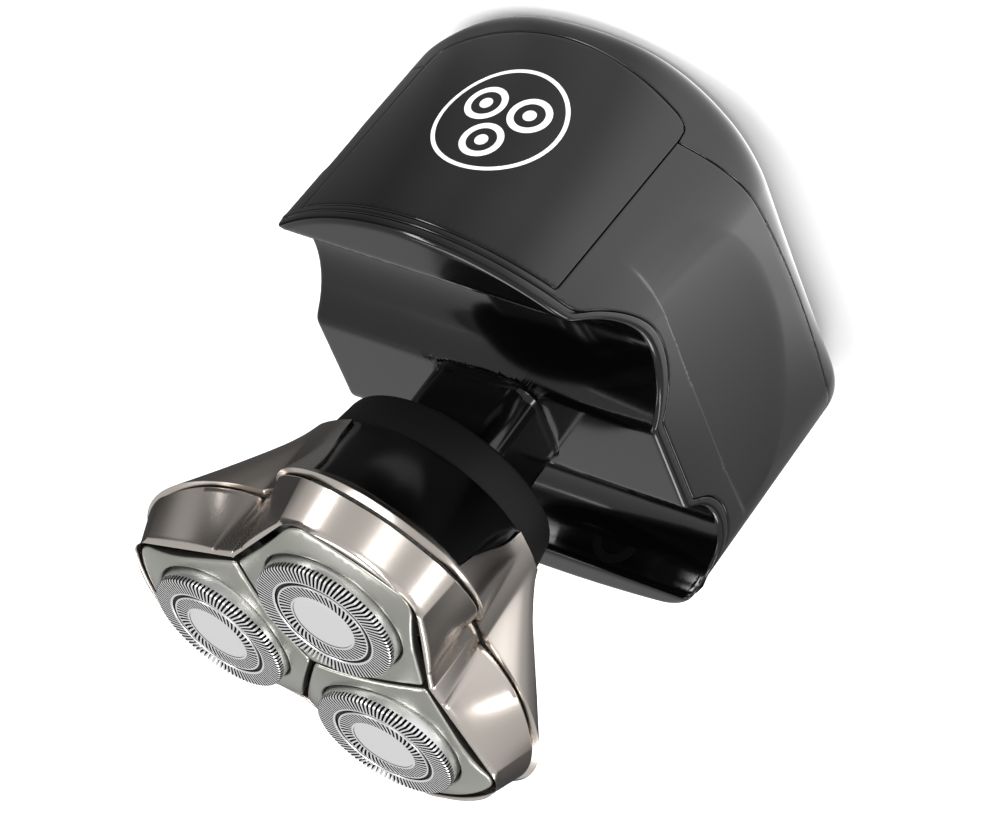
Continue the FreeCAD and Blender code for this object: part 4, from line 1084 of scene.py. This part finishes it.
class SHAVER_OT_grip(bpy.types.Operator):
    """Mould the palm cover, housing, panel and finger plate"""
    bl_idname = "shaver.grip"
    bl_label = "Grip mouldings"

    def execute(self, context):
        sizes = context.scene.shaver_sizes
        roll, gap = sizes.edge_roll / MM, sizes.seam_gap / MM
        _, parts = grip_surface()
        seam, top, panel = seam_loop(), plate_loop(), panel_loop()
        rows = np.concatenate([
            np.arange(0.5, parts[1], 3), np.arange(parts[1], parts[2], 2),
            np.arange(parts[2], parts[4], 1.5)])
        # palm cover: everything inside the seam, less what the panel takes
        fill = lattice(420, rows)
        lower = self.merged(seam, panel)
        button = self.round_hole(-26.0, 7.1)
        lens = self.lens_hole()
        cover = skin("palm_cover_skin", grip_chart, [lower, button, lens],
                     fill, roll, gap, 1.5)
        dress(cover, "gloss_black", "handle", ("palm_cover",))
        # housing: between the two seams, less the panel
        band = lattice(540, np.arange(parts[2] - 12, parts[4], 1.2))
        ring = self.housing_loops(seam, top, panel)
        housing = skin("grip_housing_skin", grip_chart, ring, band, roll, gap, 1.3)
        dress(housing, "gloss_black", "handle", ("grip_housing",))
        front = skin("front_panel_skin", grip_chart, [panel],
                     lattice(720, np.arange(parts[1], parts[4], 1.5)), roll, gap, 1.2)
        dress(front, "panel_black", "handle", ("front_panel",))
        plate = skin("finger_plate_skin", grip_chart, [self.neck_loop(), top],
                     lattice(540, np.concatenate([
                         np.arange(parts[3] - 8, parts[4], 1.0),
                         np.arange(parts[4], parts[5] - 10, 1.6)])), roll, gap, 1.2)
        dress(plate, "gloss_black", "handle", ("finger_plate",))
        return {"FINISHED"}

    @staticmethod
    def merged(seam, panel):
        """Outline of the palm cover: the seam, dipping round the panel's foot."""
        turns, above, rest = split_by_seam(seam, panel)
        foot = panel[~above][np.argsort(turns[~above])]
        return resample(np.concatenate([foot, rest]), 1.2)

    @staticmethod
    def housing_loops(seam, top, panel):
        """Housing outline: outside at the finger seam, inside at the palm seam and panel."""
        turns, above, rest = split_by_seam(seam, panel)
        edge = turn_of(PANEL_HALF) * 0.98
        over = panel[above]
        over_turns = turns[above]
        left = over[over_turns < -edge]
        right = over[over_turns > edge]
        mid = over[np.abs(over_turns) <= edge]
        left = left[np.argsort(np.hypot(left[:, 0], left[:, 1]))]
        right = right[np.argsort(-np.hypot(right[:, 0], right[:, 1]))]
        mid = mid[np.argsort(np.arctan2(mid[:, 1], mid[:, 0]))]
        return [top, resample(np.concatenate([left, mid, right, rest]), 1.2)]

    @staticmethod
    def step_from(point):
        """Flat place of a point on the palm near the middle."""
        surface, _ = grip_surface()
        x, y = point
        flat_turns = np.arange(720) / 720
        direction = math.atan2(y, x)
        line_angle = np.arctan2(surface.raw[:, 30, 1], surface.raw[:, 30, 0])
        best = int(np.argmin(np.abs(np.angle(np.exp(1j * (line_angle - direction))))))
        radii = np.hypot(surface.raw[best, :100, 0], surface.raw[best, :100, 1])
        step = float(np.interp(math.hypot(x, y), radii[:60], np.arange(60)))
        before, after = line_angle[(best - 1) % 720], line_angle[(best + 1) % 720]
        spread = np.angle(np.exp(1j * (after - before))) / 2
        offset = np.angle(np.exp(1j * (direction - line_angle[best]))) / spread
        return plane_of(np.array(flat_turns[best] + offset / 720), np.array(step))

    def round_hole(self, y, radius):
        """Round hole in the palm cover, centred at y."""
        angles = np.linspace(0, 2 * math.pi, 72, endpoint=False)
        return np.array([self.step_from((radius * math.cos(a), y + radius * math.sin(a)))
                         for a in angles])

    def lens_hole(self):
        """Long round-ended hole in the palm cover for the indicator lens."""
        points = []
        for sign, start in ((1, -90), (-1, 90)):
            for a in np.radians(np.linspace(start, start + 180, 12)):
                points.append((sign * 3.5 + 2.5 * math.cos(a), 24 + 2.5 * math.sin(a)))
        return np.array([self.step_from(p) for p in resample(np.array(points), 0.6)])

    @staticmethod
    def neck_loop():
        """Hole of the finger plate round the neck."""
        surface, parts = grip_surface()
        turns = np.arange(240) / 240
        result = []
        steps = np.arange(parts[4], parts[5])
        for t in turns:
            line = surface.sample(surface.table, np.full(len(steps), t), steps.astype(float))
            gauge = ((np.abs(line[:, 0]) / 10.1) ** 5
                     + (np.abs(line[:, 1] + 0.65) / 8.75) ** 5)
            outside_steps = steps[gauge > 1]
            result.append(float(outside_steps.max()) if len(outside_steps) else steps[0])
        return plane_of(turns, np.array(result))


class SHAVER_OT_neck(bpy.types.Operator):
    """Shape the neck and its collar"""
    bl_idname = "shaver.neck"
    bl_label = "Neck and collar"

    def execute(self, context):
        rings = []
        levels = [(45.0, 0.0), (47.3, 0.45), (48.2, 0.1), (49.5, 0.0), (57.5, 0.0), (59.8, 0.25),
                  (61.0, 0.8)]
        for height, flare in levels:
            ring = []
            for a in np.linspace(0, 2 * math.pi, 160, endpoint=False):
                c, s = math.cos(a), math.sin(a)
                k = (abs(c) ** 5 + abs(s) ** 5) ** (-1 / 5)
                ring.append((c * k * (9.95 + flare), -0.65 + s * k * (8.6 + flare), height))
            rings.append(ring)
        vertices = [v for ring in rings for v in ring]
        polygons = []
        size = 160
        for level in range(len(rings) - 1):
            for i in range(size):
                j = (i + 1) % size
                polygons.append((level * size + i, level * size + j, (level + 1) * size + j,
                                 (level + 1) * size + i))
        polygons.append(tuple(reversed(range(size))))
        polygons.append(tuple((len(rings) - 1) * size + i for i in range(size)))
        neck = mesh_object("neck_skin", vertices, polygons)
        dress(neck, "gloss_black", "handle")
        profile = [(18.7, 61.0), (19.9, 69.0), (17.7, 69.0), (16.7, 63.0), (10.9, 63.0),
                   (10.9, 61.02)]
        collar = lathe("collar_skin", eased(profile, 0.7, 5))
        dress(collar, "collar_grey", "head", ("head_collar",))
        return {"FINISHED"}


class SHAVER_OT_shell(bpy.types.Operator):
    """Mould the plated shell, its black inserts and the blade frame"""
    bl_idname = "shaver.shell"
    bl_label = "Head shell"

    def execute(self, context):
        sizes = context.scene.shaver_sizes
        roll, gap = sizes.edge_roll / MM, sizes.seam_gap / MM
        count = 720
        turns = np.arange(count) / count
        outer = plane_of(turns, np.full(count, BASE_STEP + SHELL_STEPS - 0.01))
        inserts = [insert_loop(lobe) for lobe in LOBES]
        inner = self.scalloped()
        fill = lattice(720, np.arange(BASE_STEP + 1, BASE_STEP + SHELL_STEPS, 3.0))
        shell = skin("head_shell_skin", shell_chart, [outer, inner], fill, roll, gap, 1.4)
        dress(shell, "shell_nickel", "head", ("head_shell",))
        for lobe in LOBES:
            insert = skin("shell_insert_skin_%d" % (lobe + 1), shell_chart, [inserts[lobe]], fill,
                          roll * 0.8, gap * 0.6, 0.9)
            dress(insert, "gloss_black", "head", ("shell_insert_%d" % (lobe + 1),))
        self.blade_frame()
        return {"FINISHED"}

    @staticmethod
    def scalloped():
        """The shell's lower rim: round the collar, and up and over each insert."""
        pieces = []
        for lobe in LOBES:
            over = insert_loop(lobe, closed=False)
            pieces.append(over)
            ahead = insert_loop((lobe + 1) % len(LOBES), closed=False)
            start = math.atan2(over[-1][1], over[-1][0])
            end = math.atan2(ahead[0][1], ahead[0][0])
            span = (end - start) % (2 * math.pi)
            for share in np.linspace(0, 1, 40)[1:-1]:
                turn = (start + span * share) / (2 * math.pi)
                pieces.append(plane_of(np.array([turn]), np.array([BASE_STEP + 0.02])))
        return np.concatenate(pieces)

    @staticmethod
    def blade_frame():
        """A lobed ring from the parting cone over a rounded rim into the plates' mouth."""
        mouth = soften(pad_points(MOUTH_GAP), 0.5)
        count = 1440
        angle = np.arange(count) / count * 2 * math.pi
        shape = []
        for lobe in LOBES:
            turn = 2 * math.pi * lobe / 3
            c, s = math.cos(turn), math.sin(turn)
            loop = mouth @ np.array([[c, s], [-s, c]])
            loop_angle = np.arctan2(loop[:, 1], loop[:, 0])
            loop_reach = np.hypot(loop[:, 0], loop[:, 1])
            shape.append((loop_angle, loop_reach, turn))
        reach = np.zeros(count)
        for loop_angle, loop_reach, turn in shape:
            local = (loop_angle - turn + math.pi) % (2 * math.pi) - math.pi
            far = loop_reach > 15
            order = np.argsort(local[far])
            here = (angle - turn + math.pi) % (2 * math.pi) - math.pi
            sector = np.abs(here) <= math.radians(60.5)
            value = np.interp(here, local[far][order], loop_reach[far][order])
            reach = np.where(sector, np.maximum(reach, value), reach)
        low = lookup(RIM_LOW_LOBES, angle)
        high = np.minimum(lookup(RIM_HIGH_LOBES, angle), reach + 0.9)

        def outer(height):
            """Reach of the frame's wall at a height."""
            share = (height - 84.6) / (RIM_TOP - 84.6)
            return low * (1 - share) + high * share
        foot = parting_height(np.minimum(outer(89.0), 38.6)) + 0.12
        rows = []
        edge = 0.9
        for share in (0.0, 0.03, 0.1, 0.25, 0.4, 0.55, 0.7, 0.85, 0.94, 1.0):
            height = foot + (RIM_TOP - edge - foot) * share
            tuck = 0.25 * max(0.0, 1 - share / 0.03)
            rows.append((outer(height) - tuck, height))
        side_reach = outer(RIM_TOP - edge)
        flat_out = np.maximum(outer(RIM_TOP) - edge * 0.9, reach + 0.25)
        for turn in (30, 60, 90):
            a = math.radians(turn)
            rows.append((flat_out + (side_reach - flat_out) * math.cos(a),
                         RIM_TOP - edge + edge * math.sin(a) + 0 * angle))
        inward = reach + 0.2
        rows.append((np.minimum((flat_out + inward) / 2, flat_out), RIM_TOP + 0 * angle))
        rows.append((inward, RIM_TOP - 0.02 + 0 * angle))
        rows.append((reach + 0.03, RIM_TOP - 0.25 + 0 * angle))
        rows.append((reach, RIM_TOP - 0.6 + 0 * angle))
        rows.append((reach, RIM_TOP - 4.0 + 0 * angle))
        inner_low = np.maximum(np.minimum(reach + 0.3, rows[0][0] - 1.2), 15)
        rows.append((inner_low, foot + 0.6))
        rows.append((np.maximum(rows[0][0] - 1.1, inner_low), foot + 0.1))
        vertices = []
        for radius, height in rows:
            for a, r, z in zip(angle, radius, np.broadcast_to(height, angle.shape)):
                vertices.append((r * math.cos(a), r * math.sin(a), z))
        polygons = []
        size = len(rows)
        for row in range(size):
            other = (row + 1) % size
            for i in range(count):
                j = (i + 1) % count
                polygons.append((row * count + i, row * count + j, other * count + j,
                                 other * count + i))
        ring = mesh_object("blade_frame_skin", vertices, polygons, 40)
        dress(ring, "shell_nickel", "blade_frame", ("blade_frame",))


class SHAVER_OT_cutters(bpy.types.Operator):
    """Make the cutter plates and the slotted foils"""
    bl_idname = "shaver.cutters"
    bl_label = "Cutting units"

    def execute(self, context):
        sizes = context.scene.shaver_sizes
        for lobe in LOBES:
            number = lobe + 1
            body = "cutter_plate_%d" % number
            outline = soften(pad_points(0.0), 0.6, 0.45)
            hole = np.array([(CUTTER_PITCH + 12.5 * math.cos(a), 12.5 * math.sin(a))
                             for a in np.linspace(0, 2 * math.pi, 180, endpoint=False)])
            grid = np.arange(-36, 36.1, 0.8)
            fill = np.array([(x + 0.4 * (i % 2), y) for i, y in enumerate(grid) for x in grid])
            plate = skin("cutter_plate_skin_%d" % number, plate_chart, [outline, hole], fill,
                         0.45, 0.0, 2.0)
            turn_object(plate, lobe)
            dress(plate, "plate_nickel", body, (body,))
            self.foil(number, lobe, body, sizes)
        return {"FINISHED"}

    @staticmethod
    def foil(number, lobe, body, sizes):
        place = cutter_matrix(lobe)
        edge = [(11.5 + 0.5 * math.sin(math.radians(a)), -0.5 + 0.5 * math.cos(math.radians(a)))
                for a in (0, 30, 60, 90)]
        outer_profile = [(8.65, -0.12), (8.72, 0.0), (9.0, 0.0), (10.0, 0.02), (10.9, 0.0)] + edge
        outer_profile += [(12.0, -1.1), (12.0, -1.35), (12.0, -4.2)]
        outer = slotted_track("foil_outer_track_%d" % number, outer_profile, sizes.outer_slots,
                              -sizes.slot_swirl * 0.55, 2, 9)
        inner_profile = [(8.1, -0.2), (8.05, 0.0), (7.8, 0.0), (7.0, 0.02), (6.2, 0.02),
                         (5.7, 0.0), (5.35, 0.0)]
        inner_profile.reverse()
        inner = slotted_track("foil_inner_track_%d" % number, inner_profile, sizes.inner_slots,
                              sizes.slot_swirl, 1, 4)
        disc = lathe("foil_disc_%d" % number,
                     [(0.01, 0.02), (2.5, 0.02), (4.6, 0.01), (5.1, -0.02), (5.4, -0.1),
                      (5.4, -0.5), (0.01, -0.5)], 96)
        groove = lathe("foil_groove_%d" % number,
                       [(8.0, -0.32), (8.75, -0.32), (8.75, -0.6), (8.0, -0.6)], 128)
        flange = lathe("foil_flange_%d" % number,
                       [(11.4, -4.1), (11.95, -4.1), (12.1, -4.22), (12.9, -4.25), (12.9, -4.55),
                        (11.4, -4.55)], 128)
        # the groove and the flange take the near-black cutter_steel as painted shade under the
        # foil
        for piece, material in ((outer, "foil_steel"), (inner, "foil_steel"),
                                (disc, "foil_steel"), (groove, "cutter_steel"),
                                (flange, "cutter_steel")):
            piece.data.transform(place)
            dress(piece, material, body,
                  ("foil_cap_%d" % number,) if piece is outer else ())


class SHAVER_OT_emblem(bpy.types.Operator):
    """Print a plain ring emblem with three discs on the front panel"""
    bl_idname = "shaver.emblem"
    bl_label = "Panel emblem"

    def execute(self, context):
        centre = (0.0, 24.0)
        shapes = [(0.0, 0.0, 11.0, 10.3)]
        for lobe in LOBES:
            a = 2 * math.pi * lobe / 3 + math.pi / 2
            shapes.append((4.8 * math.cos(a), 4.8 * math.sin(a), 3.6, 2.5))
            shapes.append((4.8 * math.cos(a), 4.8 * math.sin(a), 1.1, 0.0))
        surface, parts = grip_surface()
        steps = np.arange(parts[2], parts[4])

        def on_panel(x, z):
            turn = float(turn_of(x))
            line = surface.sample(surface.raw, np.full(len(steps), turn), steps.astype(float))
            step = float(np.interp(z, line[:, 2], steps))
            place, normal = surface.at(np.array([turn]), np.array([step]))
            return place[0], normal[0]
        vertices, polygons = [], []
        for dx, dz, outer, inner in shapes:
            sides = 96
            base = len(vertices)
            for lift, radius in ((-0.02, outer), (0.03, outer), (0.03, inner), (-0.02, inner)):
                for i in range(sides):
                    a = 2 * math.pi * i / sides
                    place, normal = on_panel(centre[0] + dx + radius * math.cos(a),
                                             centre[1] + dz + radius * math.sin(a))
                    vertices.append(tuple(place + normal * lift))
            for layer in range(4):
                other = (layer + 1) % 4
                for i in range(sides):
                    j = (i + 1) % sides
                    polygons.append((base + layer * sides + i, base + layer * sides + j,
                                     base + other * sides + j, base + other * sides + i))
        emblem = mesh_object("panel_emblem", vertices, polygons)
        dress(emblem, "emblem_silver", "handle")
        return {"FINISHED"}


# Painted reflection: the floor glow's level at each share of the bearing round the shaver, bright
# towards minus X, which only glossy pieces mirror
PAINTED_REFLECTION_LEVELS = ((0.0, 0.9), (0.08, 1.0), (0.17, 0.9), (0.23, 0.42), (0.3, 0.24), (0.38, 0.1),
               (0.5, 0.05), (0.72, 0.05), (0.8, 0.1), (0.88, 0.25), (0.95, 0.7), (1.0, 0.9))


class SHAVER_OT_stage(bpy.types.Operator):
    """Set the floor, the softboxes and the camera"""
    bl_idname = "shaver.stage"
    bl_label = "Stage"

    def execute(self, context):
        colours = context.scene.shaver_colours
        mesh = bpy.data.meshes.new("floor")
        reach = 4.0
        mesh.from_pydata([(-reach, -reach, -0.0003), (reach, -reach, -0.0003),
                          (reach, reach, -0.0003), (-reach, reach, -0.0003)], [], [(0, 1, 2, 3)])
        floor = bpy.data.objects.new("floor", mesh)
        context.scene.collection.objects.link(floor)
        material = finish("floor_paper_and_painted_reflection", tuple(colours.floor_white), roughness=0.7, bump=0.02,
                          shade=0.02)
        # the floor also carries a painted reflection, a glow that only glossy rays see
        self.paint_floor_reflection(material)
        mesh.materials.append(material)
        right = Vector((-0.79647, 0.27656, -0.53773))
        up = Vector((0.26892, -0.63449, -0.72464))
        back = Vector((-0.54159, -0.72176, 0.43098))
        camera = bpy.data.objects.new("camera", bpy.data.cameras.new("camera"))
        context.scene.collection.objects.link(camera)
        camera.matrix_world = Matrix((
            (right.x, up.x, back.x, -0.4669), (right.y, up.y, back.y, -0.6221),
            (right.z, up.z, back.z, 0.4180), (0, 0, 0, 1)))
        camera.data.lens = 198
        camera.data.sensor_width = 36
        camera.data.clip_start = 0.05
        context.scene.camera = camera
        self.lamp("key_softbox", (-0.75, -0.85, 0.75), (0.5, 0.35), 9)
        self.lamp("front_strip", (0.5, -0.9, 0.3), (0.12, 0.8), 5)
        self.lamp("left_strip", (-1.0, 0.1, 0.45), (0.14, 0.8), 5)
        self.lamp("rear_softbox", (-0.35, 0.95, 0.7), (0.5, 0.4), 5)
        self.lamp("top_softbox", (0.25, -0.15, 1.15), (0.6, 0.6), 7)
        context.scene.view_settings.view_transform = "Standard"
        world = bpy.data.worlds.new("studio")
        context.scene.world = world
        world.use_nodes = True
        tree = world.node_tree
        sky = tree.nodes["Background"]
        sky.inputs["Color"].default_value = (1, 1, 1, 1)
        sky.inputs["Strength"].default_value = 0.85
        return {"FINISHED"}

    @staticmethod
    def paint_floor_reflection(material):
        """Painted reflection: for glossy rays only, the floor glows in levels set by its bearing
        from the shaver, strongest close to it.
        """
        tree = material.node_tree
        shader = tree.nodes["Principled BSDF"]
        place = tree.nodes.new("ShaderNodeNewGeometry")
        split = tree.nodes.new("ShaderNodeSeparateXYZ")
        tree.links.new(place.outputs["Position"], split.inputs["Vector"])
        bearing = tree.nodes.new("ShaderNodeMath")
        bearing.operation = "ARCTAN2"
        tree.links.new(split.outputs["Y"], bearing.inputs[0])
        tree.links.new(split.outputs["X"], bearing.inputs[1])
        share = tree.nodes.new("ShaderNodeMapRange")
        share.inputs["From Min"].default_value = -math.pi
        share.inputs["From Max"].default_value = math.pi
        tree.links.new(bearing.outputs["Value"], share.inputs["Value"])
        ramp = tree.nodes.new("ShaderNodeValToRGB")
        ramp.color_ramp.interpolation = "EASE"
        points = ramp.color_ramp.elements
        points[0].position, points[1].position = 0.0, 1.0
        for bearing_share, level in PAINTED_REFLECTION_LEVELS[1:-1]:
            points.new(bearing_share)
        for point, (bearing_share, level) in zip(points, PAINTED_REFLECTION_LEVELS):
            point.position = bearing_share
            point.color = (level, level, level, 1)
        tree.links.new(share.outputs["Result"], ramp.inputs["Fac"])
        painted_glow = tree.nodes.new("ShaderNodeEmission")
        tree.links.new(ramp.outputs["Color"], painted_glow.inputs["Color"])
        away = tree.nodes.new("ShaderNodeVectorMath")
        away.operation = "LENGTH"
        tree.links.new(place.outputs["Position"], away.inputs[0])
        # painted highlight: the glow is three times as strong close to the shaver, easing to 1.3
        # farther out
        near = tree.nodes.new("ShaderNodeMapRange")
        near.inputs["From Min"].default_value = 0.1
        near.inputs["From Max"].default_value = 0.17
        near.inputs["To Min"].default_value = 3.0
        near.inputs["To Max"].default_value = 1.3
        tree.links.new(away.outputs["Value"], near.inputs["Value"])
        tree.links.new(near.outputs["Result"], painted_glow.inputs["Strength"])
        # painted reflection: glossy rays see the painted glow in place of the floor's own shading
        rays = tree.nodes.new("ShaderNodeLightPath")
        mixed = tree.nodes.new("ShaderNodeMixShader")
        tree.links.new(rays.outputs["Is Glossy Ray"], mixed.inputs["Fac"])
        tree.links.new(shader.outputs["BSDF"], mixed.inputs[1])
        tree.links.new(painted_glow.outputs["Emission"], mixed.inputs[2])
        tree.links.new(mixed.outputs["Shader"], tree.nodes["Material Output"].inputs["Surface"])

    @staticmethod
    def lamp(name, place, size, power):
        """Add a softbox that faces the shaver's middle."""
        data = bpy.data.lights.new(name, "AREA")
        data.shape = "RECTANGLE"
        data.size, data.size_y = size
        data.energy = power
        lamp = bpy.data.objects.new(name, data)
        bpy.context.scene.collection.objects.link(lamp)
        lamp.location = place
        aim = Vector((0, 0, 0.05)) - Vector(place)
        lamp.rotation_euler = aim.to_track_quat("-Z", "Y").to_euler()


OPERATORS = (SHAVER_OT_finishes, SHAVER_OT_grip, SHAVER_OT_neck, SHAVER_OT_shell,
             SHAVER_OT_cutters, SHAVER_OT_emblem, SHAVER_OT_stage)


class SHAVER_PT_panel(bpy.types.Panel):
    """The shaver's pieces and values"""
    bl_idname = "SHAVER_PT_panel"
    bl_label = "Shaver"
    bl_space_type = "VIEW_3D"
    bl_region_type = "UI"
    bl_category = "Shaver"

    def draw(self, context):
        for group in (context.scene.shaver_sizes, context.scene.shaver_colours):
            for name in group.__annotations__:
                self.layout.prop(group, name)
        for operator in OPERATORS:
            self.layout.operator(operator.bl_idname)


CLASSES = (ShaverSizes, ShaverColours) + OPERATORS + (SHAVER_PT_panel,)


def register():
    for item in CLASSES:
        bpy.utils.register_class(item)
    bpy.types.Scene.shaver_sizes = PointerProperty(type=ShaverSizes)
    bpy.types.Scene.shaver_colours = PointerProperty(type=ShaverColours)


def unregister():
    del bpy.types.Scene.shaver_colours
    del bpy.types.Scene.shaver_sizes
    for item in reversed(CLASSES):
        bpy.utils.unregister_class(item)


def main():
    """Build the scene."""
    register()
    for operator in OPERATORS:
        name = operator.bl_idname.split(".")[1]
        getattr(bpy.ops.shaver, name)()


if __name__ == "__main__":
    main()
